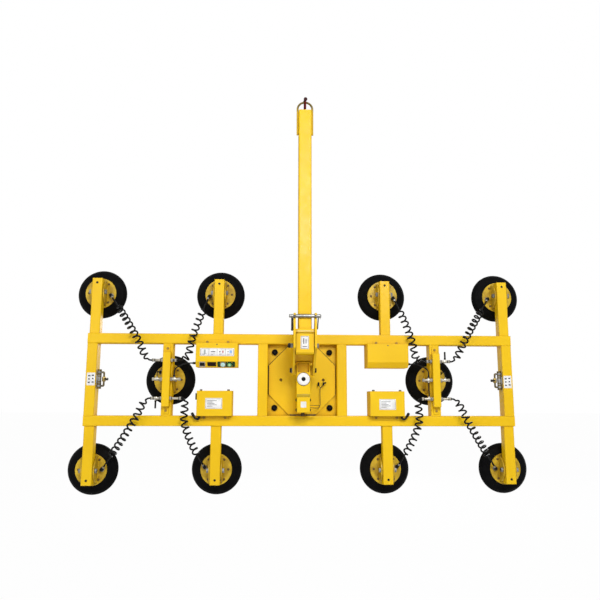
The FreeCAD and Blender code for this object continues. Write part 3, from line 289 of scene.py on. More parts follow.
pale_grey = plastic("pale_bezel", (0.42, 0.38, 0.36), 0.45, 300.0, 0.02, 0.0, 0.3)
dull_bolt = plastic("painted_bolt", (0.3, 0.17, 0.012), 0.5, 300.0, 0.1)
bronze = plastic("dark_bolt", (0.12, 0.07, 0.018), 0.5, 300.0, 0.1, 0.0, 0.3)
browned = plastic("browned_steel", (0.07, 0.046, 0.012), 0.45, 300.0, 0.06, 0.0, 0.3)
# Pale paint for the band along the flange edge
pale_edge = paint("pale_edge", (0.86, 0.74, 0.34), (0.8, 0.66, 0.26), CORNER_SHADE, reach=0.014)
# Dark brown for painted shade in the index holes and below the foot flange
shade_brown = plastic("hole_brown", (0.22, 0.1, 0.006), 0.5, 300.0, 0.06, 0.0, 0.2)
zinc = metal("zinc_steel", (0.3, 0.3, 0.29), 0.36)
dark_steel = metal("dark_steel", (0.09, 0.09, 0.095), 0.42)
chrome = metal("chrome_ring", (0.45, 0.45, 0.46), 0.25)
cast = metal("cast_aluminium", (0.27, 0.27, 0.27), 0.48, (1, 1, 1))
brass = metal("brass_fitting", (0.42, 0.3, 0.1), 0.34)
nickel = metal("nickel_fitting", (0.46, 0.43, 0.36), 0.32)
valve_brown = metal("valve_brown", (0.16, 0.12, 0.05), 0.4)
paper = plastic("label_paper", (0.8, 0.8, 0.79), 0.5, 160.0, 0.02, 0.0, 0.2)
ink = plastic("label_line", (0.07, 0.07, 0.08), 0.5, 160.0, 0.02, 0.0, 0.2)
red_ink = plastic("label_red", (0.42, 0.035, 0.04), 0.5, 160.0, 0.02, 0.0, 0.2)
blue_ink = plastic("label_blue", (0.25, 0.4, 0.66), 0.5, 160.0, 0.02, 0.0, 0.2)
pale_ink = plastic("label_pale", (0.36, 0.4, 0.39), 0.5, 160.0, 0.02, 0.0, 0.2)
glass = plastic("display_glass", (0.012, 0.005, 0.003), 0.3, 100.0, 0.0, 0.0, 0.1)

# Looks of the solids: by material, and some nodes with one of their own
by_slot = {"yellow_paint": yellow, "black_rubber": rubber, "red_paint": red, "zinc_steel": zinc,
           "white_plastic": white, "black_plastic": black, "hose_black": hose_black,
           "cast_aluminium": cast, "brass_fitting": nickel, "green_plastic": green,
           "cyan_plastic": cyan}
own_look = {"lock_plunger": browned, "plunger_spring": dark_steel, "head_bolts": dark_steel,
            "box_bolts": dull_bolt, "lifting_bail": shaded_bail_yellow, "trunnion_housing": short_shade_yellow}
for part in frame["record"]["subparts"]:
    name = part["node"]
    look = own_look.get(name, by_slot[part["material_slot"]])
    if name.startswith("carrier_"):
        look = shaded_plate_yellow
    mesh = nodes[name].data
    mesh.materials.clear()
    mesh.materials.append(look)


# Mesh building, sizes in millimetres
class Shape:
    def __init__(self):
        self.bm = bmesh.new()

    # Surface turned round an axis from (radius, height) pairs
    def lathe(self, origin, axis, profile, count=32):
        axis = Vector(axis).normalized()
        side = axis.orthogonal().normalized()
        if abs(axis.z) < 0.5:
            side = axis.cross(Z).normalized()
        up = axis.cross(side)
        rings = []
        for r, h in profile:
            base = origin + axis * (h * MM)
            if r < 1e-6:
                rings.append([self.bm.verts.new(base)])
                continue
            ring = []
            for k in range(count):
                a = 2 * math.pi * k / count
                way = side * math.cos(a) + up * math.sin(a)
                ring.append(self.bm.verts.new(base + way * (r * MM)))
            rings.append(ring)
        for a, b in zip(rings, rings[1:]):
            self.skin(a, b)
        return self

    # Faces between two rings, either of which may be a single point
    def skin(self, a, b):
        count = max(len(a), len(b))
        if count == 1:
            return
        for k in range(count):
            n = (k + 1) % count
            if len(a) == 1:
                self.bm.faces.new((a[0], b[n], b[k]))
            elif len(b) == 1:
                self.bm.faces.new((a[k], a[n], b[0]))
            else:
                self.bm.faces.new((a[k], a[n], b[n], b[k]))

    # Solid rod with softened ends
    def rod(self, origin, axis, radius, length, soft=0.8, count=24):
        profile = [(0, 0), (radius - soft, 0), (radius, soft), (radius, length - soft),
                   (radius - soft, length), (0, length)]
        return self.lathe(origin, axis, profile, count)

    # Flat ring
    def ring(self, origin, axis, inner, outer, length, soft=0.4, count=32):
        profile = [(inner, 0), (outer - soft, 0), (outer, soft), (outer, length - soft),
                   (outer - soft, length), (inner, length), (inner, 0)]
        return self.lathe(origin, axis, profile, count)

    # Bolt head on a washer, with the corners of the hexagon turned off
    def bolt(self, origin, axis, flats, head, washer=1.5):
        corner = flats / math.sqrt(3)
        if washer:
            self.rod(origin, axis, corner * 1.22, washer, 0.3, 28)
        base = origin + Vector(axis).normalized() * (washer * MM)
        profile = [(0, 0), (corner, 0), (corner, head * 0.8), (corner * 0.86, head), (0, head)]
        return self.lathe(base, axis, profile, 6)

    # Hexagon sleeve over a bolt head of the solids
    def hex_cap(self, origin, axis, flats, head):
        corner = flats / math.sqrt(3) + 0.5
        profile = [(corner - 1, 0), (corner, 0.4), (corner, head * 0.85), (corner * 0.86, head + 0.5),
                   (0, head + 0.6)]
        return self.lathe(origin, axis, profile, 6)

    # Box with rounded edges, in axes of its own
    def box(self, centre, size, soft=1.0, turn=None):
        made = bmesh.new()
        bmesh.ops.create_cube(made, size=1.0)
        bmesh.ops.scale(made, vec=Vector(size) * MM, verts=made.verts)
        width = min(soft, 0.45 * min(size)) * MM
        bmesh.ops.bevel(made, geom=made.edges[:], offset=width, segments=2, affect="EDGES",
                        profile=0.5)
        place = Matrix.Translation(centre)
        if turn is not None:
            place = place @ turn.to_4x4()
        bmesh.ops.transform(made, matrix=place, verts=made.verts)
        mesh = bpy.data.meshes.new("scratch")
        made.to_mesh(mesh)
        made.free()
        self.bm.from_mesh(mesh)
        bpy.data.meshes.remove(mesh)
        return self

    # Round bar through points
    def tube(self, points, radius, count=12, radii=None):
        rings = []
        side = None
        for k, p in enumerate(points):
            after = points[min(k + 1, len(points) - 1)]
            way = (after - points[max(k - 1, 0)]).normalized()
            if side is None:
                side = way.orthogonal().normalized()
            side = (side - way * side.dot(way)).normalized()
            up = way.cross(side)
            r = (radii[k] if radii else radius) * MM
            ring = []
            for m in range(count):
                a = 2 * math.pi * m / count
                spoke = side * math.cos(a) + up * math.sin(a)
                ring.append(self.bm.verts.new(p + spoke * r))
            rings.append(ring)
        for a, b in zip(rings, rings[1:]):
            self.skin(a, b)
        self.bm.faces.new(list(reversed(rings[0])))
        self.bm.faces.new(rings[-1])
        return self

    # Weld bead with ripples along a straight seam
    def weld(self, a, b, radius):
        length = (b - a).length / MM
        count = max(4, int(length / 2.2))
        points = []
        radii = []
        for k in range(count + 1):
            t = k / count
            jig = Vector([random.uniform(-0.25, 0.25) * MM for _ in range(3)])
            points.append(a.lerp(b, t) + jig)
            end = min(1.0, 3.0 * min(t, 1 - t) + 0.45)
            radii.append(radius * end * (0.86 + 0.14 * (k % 2)) * random.uniform(0.95, 1.05))
        return self.tube(points, radius, 8, radii)

    # Object of the scene, with edges sharp from an angle in degrees, that rides a body
    def done(self, name, mat, body, smooth=35):
        bmesh.ops.recalc_face_normals(self.bm, faces=self.bm.faces)
        mesh = bpy.data.meshes.new(name)
        self.bm.to_mesh(mesh)
        self.bm.free()
        mesh.materials.append(mat)
        mesh.shade_smooth()
        mesh.set_sharp_from_angle(angle=math.radians(smooth))
        made = bpy.data.objects.new(name, mesh)
        bpy.context.scene.collection.objects.link(made)
        if body:
            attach(made, body)
        return made


# Smooth bent wire through corner points
def wire(corners, bend, steps=6):
    out = [corners[0]]
    for a, b, c in zip(corners, corners[1:], corners[2:]):
        cut = min(bend * MM, 0.45 * (b - a).length, 0.45 * (c - b).length)
        p = b + (a - b).normalized() * cut
        q = b + (c - b).normalized() * cut
        for k in range(steps + 1):
            t = k / steps
            out.append(p * (1 - t) ** 2 + b * (2 * t * (1 - t)) + q * t * t)
    return out + [corners[-1]]


# Cups: side of the hose elbow and its drop towards the frame
cup_ports = {"upper_left_outer": (1, 13), "upper_left_inner": (-1, 13),
             "upper_right_inner": (1, 13), "upper_right_outer": (-1, 13),
             "middle_left": (-1, 0), "middle_right": (1, 0),
             "lower_left_outer": (1, 2), "lower_left_inner": (-1, 13),
             "lower_right_inner": (1, 13), "lower_right_outer": (-1, 2)}
PORT_X = 66
MID_PORT_X = 55
MID_PORT_Z = 45
NIPPLE_Y = 80
NIPPLE_LONG = 26
PLATE_Y = 98
HOSE_RADIUS = 5.0
LINK_RADIUS = 3.0
HOSE_LEAD = 10


class Cup:
    def __init__(self, name):
        self.name = name
        self.body = "cup_" + name
        self.x, _, self.z = hinge(self.body + "_tip")
        self.port, drop = cup_ports[name]
        self.side = 1 if self.x > 0 else -1
        self.middle = name.startswith("middle")
        self.outer = name.endswith("outer")
        self.up = -1 if name.startswith("lower") else 1
        self.port_x = self.x + self.port * (MID_PORT_X if self.middle else PORT_X)
        self.port_z = MID_PORT_Z if self.middle else self.z - self.up * drop

    # Way in which the hose leaves the elbow
    def lean(self):
        if self.outer:
            x, y, z = 190, 150, 245
        elif self.up > 0:
            x, y, z = 78, 118, 240
        else:
            x, y, z = 108, 120, 200
        return Vector((self.port * x, -y, -self.up * z))


cups = [Cup(name) for name in cup_ports]


# Points read from a smooth curve on control points
def curve_points(controls, resolution):
    data = bpy.data.curves.new("route", "CURVE")
    data.dimensions = "3D"
    spline = data.splines.new("NURBS")
    spline.points.add(len(controls) - 1)
    for point, place in zip(spline.points, controls):
        point.co = (*place, 1)
    spline.order_u = 3
    spline.use_endpoint_u = True
    spline.resolution_u = resolution
    holder = bpy.data.objects.new("route", data)
    bpy.context.scene.collection.objects.link(holder)
    bpy.context.view_layer.update()
    ready = holder.evaluated_get(bpy.context.evaluated_depsgraph_get())
    mesh = bpy.data.meshes.new_from_object(ready)
    points = [v.co.copy() for v in mesh.vertices]
    bpy.data.objects.remove(holder)
    bpy.data.curves.remove(data)
    bpy.data.meshes.remove(mesh)
    return points


# The same line in equal steps
def even(points, count):
    lengths = [0.0]
    for a, b in zip(points, points[1:]):
        lengths.append(lengths[-1] + (b - a).length)
    out = []
    k = 0
    for m in range(count + 1):
        want = lengths[-1] * m / count
        while k < len(points) - 2 and lengths[k + 1] < want:
            k += 1
        share = (want - lengths[k]) / (lengths[k + 1] - lengths[k])
        out.append(points[k].lerp(points[k + 1], share))
    return out


# Soft step from 0 to 1
def ease(t):
    t = min(1.0, max(0.0, t))
    return t * t * (3 - 2 * t)


CURL_RADIUS = 19.0
CURL_STEPS = 20
ROUTE_STEPS = 48


# Curls round a route: a straight lead, then turns that swell from nothing and fade again
def curls(route, turns, lead=0.12, tail=0.03, rise=0.09, fade=0.07, crowd=0.05):
    line = even(curve_points(route, ROUTE_STEPS), turns * CURL_STEPS)
    out = []
    last = len(line) - 1
    for k, p in enumerate(line):
        way = (line[min(last, k + 1)] - line[max(0, k - 1)]).normalized()
        side = way.cross(Y).normalized()
        up = side.cross(way)
        part = min(1.0, max(0.0, (k / last - lead) / (1 - lead - tail)))
        swell = CURL_RADIUS * MM * ease(part / rise) * ease((1 - part) / fade)
        a = 2 * math.pi * turns * (part + crowd * part * (1 - part))
        out.append(p + (side * math.cos(a) + up * math.sin(a)) * swell)
    return out


# Hose tube on a smooth curve, joined to the frame at one end and to a cup at the other
def hose(cup, controls, radius, resolution):
    path = curve_points(controls, resolution)
    made = Shape().tube(path, radius, 16).done("hose_" + cup.name, hose_black, None, 60)
    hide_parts("air_hoses")
    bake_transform(made)


for cup in cups:
    if cup.middle:
        x = cup.port_x
        controls = [at(x, FIT_Y, BRANCH), at(x, FIT_Y, 32), at(x, -4, 48), at(x, 38, 45),
                    at(x, 72, 45)]
        hose(cup, controls, LINK_RADIUS, 12)
        continue
    way = cup.lean().normalized()
    start = at(cup.port_x, NIPPLE_Y, cup.port_z) + way * NIPPLE_LONG * MM
    first = start + way * HOSE_LEAD * MM
    if cup.outer:
        out, length, run, turns = cup.side, OUTER_FIT, 28, 12
    elif cup.up > 0:
        out, length, run, turns = -cup.side, UPPER_FIT, 62, 10
    else:
        out, length, run, turns = -cup.side, LOWER_FIT, 20, 10
    end = at(cup.side * MID + out * (BAR_HALF + length), FIT_Y, cup.up * FIT_Z)
    last = end + X * out * HOSE_LEAD * MM
    route = [first, first + cup.lean() * MM, last + X * out * run * MM, last]
    controls = [start, start.lerp(first, 0.5), *curls(route, turns), last.lerp(end, 0.5), end]
    controls.reverse()
    hose(cup, controls, HOSE_RADIUS, 3)

# Pads with rounded skirts and fine ridges
pad_profile = [(0, 106), (97, 106), (99, 106.6), (103, 109.5), (107, 112)]
for k in range(7):
    r = 109 + k * 3.6
    y = 112.8 + k * 1.55
    pad_profile += [(r, y), (r + 1.6, y + 0.1), (r + 2.2, y + 0.9)]
pad_profile += [(137, 126.5), (142, 131.5), (146, 137), (148.6, 142), (149.8, 145.2), (150, 146.6),
                (149.4, 148.6), (147.5, 149.8), (146, 150), (126, 150), (126, 147.5), (114, 147.5),
                (114, 150), (0, 150)]
for cup in cups:
    skirt = Shape().lathe(at(cup.x, 0, cup.z), Y, pad_profile, 96)
    pad = skirt.done("rubber_pad_" + cup.name, rubber, cup.body, 50)
    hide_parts("pad_" + cup.name)

# Elbows, bolts and seams on the cup plates
PLATE_BOLT_X = 47
PLATE_BOLT_Z = 57
FAR_BOLT_X = 72
RIB_SIDES = (31.5, 39.5)
RIB_HALF = 72
RIB_SEAM_Y = 97.6
for cup in cups:
    foot = at(cup.port_x, PLATE_Y, cup.port_z)
    elbow = Shape()
    elbow.lathe(foot, -Y, [(0, 0), (9.6, 0), (9.6, 21), (9.2, 24), (8.2, 26.2), (0, 26.4)], 28)
    nuts = Shape()
    nuts.bolt(foot, -Y, 24, 7, 0)
    if not cup.middle:
        way = cup.lean().normalized()
        spot = at(cup.port_x, NIPPLE_Y, cup.port_z)
        elbow.lathe(spot, way, [(0, 0), (8.8, 2), (8.8, 15), (8.4, 16), (8.4, 17)], 24)
        nuts.lathe(spot, way, [(8.3, 16.5), (9.6, 17), (9.6, 24), (8.4, 25.6), (5.2, 26)], 6)
    elbow.done("elbow_" + cup.name, black, cup.body)
    nuts.done("elbow_nuts_" + cup.name, zinc, cup.body)
    heads = Shape()
    for dx in both:
        for dz in both:
            corner = at(cup.x + dx * PLATE_BOLT_X, PLATE_Y, cup.z + dz * PLATE_BOLT_Z)
            heads.bolt(corner, -Y, 10, 4.5, 1.2)
    heads.bolt(at(cup.x - cup.port * FAR_BOLT_X, PLATE_Y, cup.z), -Y, 10, 4.5, 1.2)
    heads.done("plate_bolts_" + cup.name, bronze, cup.body)
    seams = Shape()
    for s in both:
        for edge in RIB_SIDES:
            x = cup.x + s * edge
            low, high = at(x, RIB_SEAM_Y, cup.z - RIB_HALF), at(x, RIB_SEAM_Y, cup.z + RIB_HALF)
            seams.weld(low, high, 2.4)
    seams.done("plate_welds_" + cup.name, yellow, cup.body, 60)


# Weld beads on the four sides of a square tube that meets a beam at height z
def collar(shape, x, z, front, back, gap, radius):
    wide = POST_HALF - 2
    for a, b in (((-wide, front), (wide, front)),
                 ((-POST_HALF, front + gap), (-POST_HALF, back - gap)),
                 ((POST_HALF, front + gap), (POST_HALF, back - gap)),
                 ((-wide, back), (wide, back))):
        shape.weld(at(x + a[0], a[1], z), at(x + b[0], b[1], z), radius)


# Weld beads on the frame: posts, arms and back plate
BACK_PLATE_Y = 50
seams = Shape()
for x in (-POST_OUT, -MID, -POST_IN, POST_IN, MID, POST_OUT):
    for z in (-BEAM_INNER, BEAM_INNER):
        collar(seams, x, z, 0.6, 79.4, 3.4, 2.6)
for cup in cups:
    if not cup.middle:
        collar(seams, cup.x, cup.up * BEAM_OUTER, ARM_FRONT, ARM_BACK, 3, 3.0)
for s in both:
    seams.weld(at(s * 207, BACK_PLATE_Y, -208), at(s * 207, BACK_PLATE_Y, 208), 2.4)
    seams.weld(at(-204, BACK_PLATE_Y, s * BEAM_INNER), at(204, BACK_PLATE_Y, s * BEAM_INNER), 2.4)
seams.done("frame_welds", yellow, "frame", 60)

# Black plugs in the holes near the arm tips
plugs = Shape()
for cup in cups:
    if not cup.middle:
        plugs.rod(at(cup.x, ARM_FRONT + 1, cup.up * TIP_HOLE), -Y, 7.0, 1.8, 0.5)
plugs.done("arm_plugs", black, "frame")

# Black strips in the gap round the turntable plate: painted shade in the gap
GAP_SHADE_Y = 48
gap_shade = Shape()
gap_shade.box(at(-203.4, GAP_SHADE_Y, 0), (6.0, 4, 172), 0.5)
gap_shade.box(at(201.4, GAP_SHADE_Y, 0), (1.8, 4, 172), 0.4)
for s in both:
    corner = Vector((s * 141, GAP_SHADE_Y, 146)) + Vector((s, 0, 1)) * 1.2
    gap_shade.box(at(*corner), (166, 4, 3.2), 0.5, Matrix.Rotation(math.radians(45 * s), 3, "Y"))
gap_shade.done("table_gap_shade", black, "frame")

# Head: axle plug, block label, olive strip of painted shade below the housing, washers and caps of the bolts,
# keeper wire with black tips
CAP_FRONT = -125
BLOCK_FRONT = -125
HOUSING_FRONT = -120
trim = Shape()
trim.lathe(at(0, CAP_FRONT, 0), -Y,
           [(12.2, 0), (12.2, 5.2), (11.4, 6.2), (6.0, 6.6), (5.6, 4.6), (0, 4.6)], 32)
trim.ring(at(0, HOUSING_FRONT, 0), -Y, 35.8, 38.4, 2.4, 0.6, 64)
trim.done("axle_plug", black, "head")
plate = Shape()
plate.box(at(0, BLOCK_FRONT - 0.3, -145), (32, 0.7, 34), 0.2)
plate.done("block_label", paper, "head")
# Olive strip of painted shade below the housing, above the lock block
shade_strip = Shape()
shade_strip.box(at(0, HOUSING_FRONT - 0.3, -94.5), (75, 0.8, 18), 0.3)
shade_strip.done("housing_shade_strip", shade_olive, "head")

CHEEK_SIDE = 65
CHEEK_BOLT = (-80, 52)
BLOCK_SIDE = 38
SIDE_BOLT_Y = -95
SIDE_BOLTS = (-119, -176)
washers = Shape()
caps = Shape()
for s in both:
    washers.ring(at(s * CHEEK_SIDE, *CHEEK_BOLT), X * s, 10, 19, 2.2)
    caps.hex_cap(at(s * CHEEK_SIDE, *CHEEK_BOLT), X * s, 26, 13)
    for z in SIDE_BOLTS:
        caps.ring(at(s * BLOCK_SIDE, SIDE_BOLT_Y, z), X * s, 3, 10.4, 1.6)
        caps.hex_cap(at(s * BLOCK_SIDE, SIDE_BOLT_Y, z), X * s, 13, 6)
washers.done("head_washers", chrome, "head")
caps.done("head_bolt_caps", black, "head")

KEEPER_RADIUS = 2.0
clip = Shape()
stem = [at(37, -60, -163), at(58, -55, -165), at(98, 8, -166), at(107, 14, -150), at(106, 15, -56)]
left_prong = [at(106, 15, -60), at(108, 15, -46), at(94, 15, -30), at(97, 14, -12)]
right_prong = [at(106, 15, -60), at(110, 15, -46), at(127, 15, -28), at(124, 14, -12)]
stay = [at(38, -70, -150), at(60, -66, -150), at(102, 2, -152)]
clip.tube(wire(stem, 14), KEEPER_RADIUS)
clip.tube(wire(left_prong, 8), KEEPER_RADIUS)
clip.tube(wire(right_prong, 8), KEEPER_RADIUS)
clip.tube(wire(stay, 10), 1.5)
clip.done("keeper_wire", browned, "head", 60)
tips = Shape()
tips.rod(at(96, 14, -36), Vector((0.08, -0.02, 1)), 5.6, 22, 2.2)
tips.rod(at(126, 14, -34), Vector((0.1, -0.02, 1)), 5.6, 20, 2.2)
tips.rod(at(129, 14, -20), Vector((1, 0, 0.25)), 4.4, 15, 1.6)
tips.done("keeper_tips", black, "head")

BLOCK_TOP = -105
seams = Shape()
for s in both:
    seams.weld(at(s * 40, -119, BLOCK_TOP), at(s * 40, -64, BLOCK_TOP), 2.6)
    seams.weld(at(s * 53, -98, 80), at(s * 53, -64, 80), 2.6)
    seams.weld(at(s * 53, -98, 25), at(s * 53, -64, 25), 2.6)
seams.weld(at(-37, HOUSING_FRONT, BLOCK_TOP), at(37, HOUSING_FRONT, BLOCK_TOP), 2.8)
seams.weld(at(-36, -62.4, BLOCK_TOP), at(36, -62.4, BLOCK_TOP), 2.6)
seams.done("head_welds", yellow, "head", 60)

# Boom: foot label, bands on the flange (a dark band of painted shade below the foot flange and a pale band along
# its edge), black knob on the pivot, seams beside the foot and the bail
FOOT_FRONT = PIVOT.y - 50
FOOT_LABEL_X = -2
FOOT_LABEL_Z = 196
FOOT_TOP = 273
BAIL_SEAM_X = 39.4
BAIL_SEAM = (1443, 1582)
plate = Shape()
plate.box(at(FOOT_LABEL_X, FOOT_FRONT - 0.4, FOOT_LABEL_Z), (46, 0.8, 72), 0.3)
plate.done("foot_label", paper, "boom")
edge = Shape()
for s in both:
    edge.box(at(FOOT_LABEL_X + s * 20, FOOT_FRONT - 0.9, FOOT_LABEL_Z), (1.6, 0.3, 68), 0.1)
    edge.box(at(FOOT_LABEL_X, FOOT_FRONT - 0.9, FOOT_LABEL_Z + s * 33.2), (41.6, 0.3, 1.6), 0.1)
for dx, dz, wide, high in ((-6, 8, 5, 30), (7, 6, 4, 24), (0, -22, 24, 4)):
    edge.box(at(FOOT_LABEL_X + dx, FOOT_FRONT - 0.9, FOOT_LABEL_Z + dz), (wide, 0.3, high), 0.1)
edge.done("foot_label_edge", ink, "boom")
# Dark band of painted shade below the foot flange, and a pale band along the flange edge
flange_bands = (("flange_shadow_band", shade_brown, 14, 2.4), ("flange_edge", pale_edge, 3, 5.0))
for name, tone, drop, high in flange_bands:
    band = Shape()
    z = FLANGE_Z - drop
    for s in both:
        band.box(at(0, PIVOT.y + s * FLANGE_HALF, z), (2 * FLANGE_HALF, 0.8, high), 0.2)
        band.box(at(s * FLANGE_HALF, PIVOT.y, z), (0.8, 2 * FLANGE_HALF, high), 0.2)
    band.done(name, tone, "boom")
knob = Shape()
knob.lathe(at(-79.5, PIVOT.y, PIVOT.z), -X,
           [(0, 0), (11, 0), (13.5, 2), (13.5, 10), (12, 13.6), (7, 15), (0, 15.4)], 24)
knob.done("pivot_knob", black, "boom")
seams = Shape()
for s in both:
    y = PIVOT.y + s * BOOM_HALF
    seams.weld(at(-36, y, FOOT_TOP), at(36, y, FOOT_TOP), 3.0)
    x = s * BOOM_HALF
    seams.weld(at(x, PIVOT.y - 36, FOOT_TOP), at(x, PIVOT.y + 36, FOOT_TOP), 3.0)
    for dy in (-5.2, 5.2):
        seams.tube([at(s * BAIL_SEAM_X, PIVOT.y + dy, z) for z in BAIL_SEAM], 2.6)
seams.done("boom_welds", short_shade_yellow, "boom", 60)

# Lock pin: rubber grip, cotter ring, black clip on the far side
grip = Shape()
grip.lathe(at(-72.5, PIN_Y, 336), -Z,
           [(0, 0), (4.4, 0), (5.7, 2), (5.7, 62), (6.4, 65), (6.4, 71), (5.2, 74), (0, 75)], 24)
grip.box(at(71.5, PIN_Y, 303), (6, 9, 66), 2.2, Matrix.Rotation(math.radians(4), 3, "Y"))
grip.done("pin_grip", black, "lock_pin")
RING_STEPS = 40
ring = []
for k in range(RING_STEPS + 1):
    a = 2 * math.pi * k / RING_STEPS
    ring.append(at(84, PIN_Y - 10.8 * math.cos(a), PIN_Z - 4 + 13.5 * math.sin(a)))
cotter = Shape()
cotter.tube(ring, 1.2)
cotter.done("pin_cotter", zinc, "lock_pin")

# Labels: plain paper with bars and blocks instead of words
PAPER_LIFT = 0.4
PAPER_THICK = 0.7
INK_LIFT = 0.85
INK_THICK = 0.3
INK_SOFT = 0.1


# Flat mark of print on a face that looks to the hand side
def mark(shape, x, face, z, wide, high):
    shape.box(at(x, face - INK_LIFT, z), (wide, INK_THICK, high), INK_SOFT)


# Blank label on such a face: paper, border and separators
def label(paper_shape, line_shape, centre, wide, high, cells=1):
    x, y, z = centre
    paper_shape.box(at(x, y - PAPER_LIFT, z), (wide, PAPER_THICK, high), 0.2)
    for k in range(cells + 1):
        dx = (k / cells - 0.5) * (wide - 8)
        mark(line_shape, x + dx, y, z, 1.6, high - 8)
    for s in both:
        mark(line_shape, x, y, z + s * (high / 2 - 4), wide - 8, 1.0)


# Grey bars that stand in for print
def bars(line_shape, centre, wide, rows, pitch):
    x, y, z = centre
    for k in range(rows):
        cut = 1.0 - 0.22 * ((k * 2) % 3)
        row_z = z + (rows / 2 - 0.5 - k) * pitch
        mark(line_shape, x - wide * (1 - cut) / 2, y, row_z, wide * cut, pitch * 0.32)


CONTROL_LABEL_X = -506
CELL_PITCH = 48
PRINT_Z = 160
POST_LABEL_X = 1245
labels = Shape()
lines = Shape()
label(labels, lines, (CONTROL_LABEL_X, BOX_FRONT, 158), 200, 46, 4)
tints = {red_ink: Shape(), blue_ink: Shape(), pale_ink: Shape()}
for k, (wide, high) in enumerate(((10, 24), (26, 5), (7, 7), (6, 6))):
    cell = CONTROL_LABEL_X + (k - 1.5) * CELL_PITCH
    print_shape = lines if k else tints[pale_ink]
    mark(print_shape, cell - (8 if k > 1 else 0), BOX_FRONT, PRINT_Z, wide, high)
    bars(lines, (cell, BOX_FRONT, 144.5), 28, 2, 5)
mark(tints[red_ink], CONTROL_LABEL_X + 34, BOX_FRONT, PRINT_Z, 7, 13)
mark(tints[blue_ink], CONTROL_LABEL_X + 80, BOX_FRONT, PRINT_Z, 15, 16)
for tone, spots in tints.items():
    spots.done(tone.name + "_spot", tone, "frame")
for x, z in ((-ARM + BATTERY_SHIFT - 3, -140), (ARM + BATTERY_SHIFT, -144)):
    label(labels, lines, (x, BATTERY_FRONT, z), 98, 62)
    bars(lines, (x - 10, BATTERY_FRONT, z), 56, 5, 8)
for s, z in ((-1, 0), (1, -8)):
    labels.box(at(s * POST_LABEL_X, -PAPER_LIFT, z), (48, PAPER_THICK, 74), 0.2)
    for dx in both:
        for dz, wide in ((20, 13), (1, 9), (-19, 12)):
            mark(lines, s * POST_LABEL_X + dx * 11, 0, z + dz + dx, wide, 8)
labels.done("blank_labels", paper, "frame")
lines.done("label_lines", ink, "frame")

# Boxes: cable glands, latch, plugs on the battery leads, bolt caps and screws
SUPPLY_Y = 18
SUPPLY_Z = 97
LEAD_Y = -25
glands = Shape()
for s in both:
    glands.lathe(at(s * (ARM + BOX_HALF), SUPPLY_Y, SUPPLY_Z), X * s,
                 [(9, 0), (9, 7), (7.4, 8), (6.8, 24), (4.2, 26)], 12)
    glands.lathe(at(s * (MID - BAR_HALF - TEE_INNER_NODE), FIT_Y, BRANCH), Z,
                 [(6.2, -1), (7.4, -0.6), (7.4, 6), (6, 8), (4.1, 8.4)], 24)
    lead_x = s * ARM + BATTERY_SHIFT + s * (BATTERY_HALF - 14)
    glands.lathe(at(lead_x, LEAD_Y, -BEAM_INNER), -Z,
                 [(10.5, 0), (10.5, 4), (8.5, 6), (6.1, 7)], 24)
    rise = Vector((s * 20, 0, 36)).normalized()
    plug_end = at(lead_x + s * 42, LEAD_Y, -194)
    glands.lathe(plug_end, -rise,
                 [(0, -1), (5, -0.6), (7.6, 1.5), (8.2, 6), (8.2, 20), (7.2, 24), (6.1, 25)], 24)
glands.box(at(-ARM + BATTERY_SHIFT - BATTERY_HALF - 4, -30, -100), (9, 24, 38), 2)
glands.done("cable_glands", black, "frame")
caps = Shape()
for s in both:
    for off in both:
        caps.hex_cap(at(s * ARM + BATTERY_SHIFT + off * 80, -30, BATTERY_TOP + 3), Z, 13, 8)
    caps.rod(at(s * ARM, BOX_FRONT, 203), -Y, 3.4, 2.2, 0.7, 20)
caps.done("box_caps", dark_steel, "frame")

# Control panel on the slanted face
PANEL_Y = -43
PANEL_Z = 87.5
slope = math.atan2(-31, 24)
tilt = Matrix.Rotation(slope, 3, "X")
inward = tilt @ Z
along = tilt @ Y


# Point on the panel: along the box, down the slope and out of the face
def on_panel(x, v=0.0, out=0.0):
    return at(x, PANEL_Y, PANEL_Z) + along * (v * MM) - inward * (out * MM)


SWITCH_X = -ARM - 84
STOP_X = -ARM + 37
START_X = -ARM + 76
BUTTONS_X = (STOP_X + START_X) / 2
DISPLAY_X = -536.5
panel = Shape()
panel.box(on_panel(DISPLAY_X, -1, 1.0), (50, 28, 2.4), 0.8, tilt)
panel.done("panel_frames", black, "frame")
bezel = Shape()
for dx, dv, wide, deep in ((0, -15.2, 34, 4.6), (0, 15.2, 34, 4.6),
                           (-15.4, 0, 3.4, 26), (15.4, 0, 3.4, 26)):
    bezel.box(on_panel(SWITCH_X + dx, dv, 1.2), (wide, deep, 2.6), 0.8, tilt)
bezel.done("switch_bezel", pale_grey, "frame")
backing = Shape()
for v in (-17.4, 17.4):
    backing.box(on_panel(BUTTONS_X, v, 0.6), (96, 3.6, 1.4), 0.5, tilt)
for x, wide in ((STOP_X - 24, 16), (BUTTONS_X, 8), (START_X + 24, 16)):
    backing.box(on_panel(x, 0, 0.6), (wide, 34, 1.4), 0.5, tilt)
backing.done("button_backing", dark_green, "frame")
window = Shape()
window.box(on_panel(DISPLAY_X, -1, 2.3), (44, 22, 0.5), 0.2, tilt)
window.done("display_window", glass, "frame")
lens = Shape()
lens.rod(on_panel(START_X, 0, 8.8), -inward, 6.5, 1.0, 0.3)
lens.done("start_lens", pale_green, "start_button")
for x, name, tone in ((START_X, "start_ring", dark_green), (STOP_X, "stop_ring", chrome)):
    rings = Shape()
    rings.lathe(on_panel(x), -inward,
                [(16.4, 0), (16.4, 3.0), (15.8, 4.6), (12.6, 4.6), (12.6, 3.6)], 40)
    rings.done(name, tone, "frame")

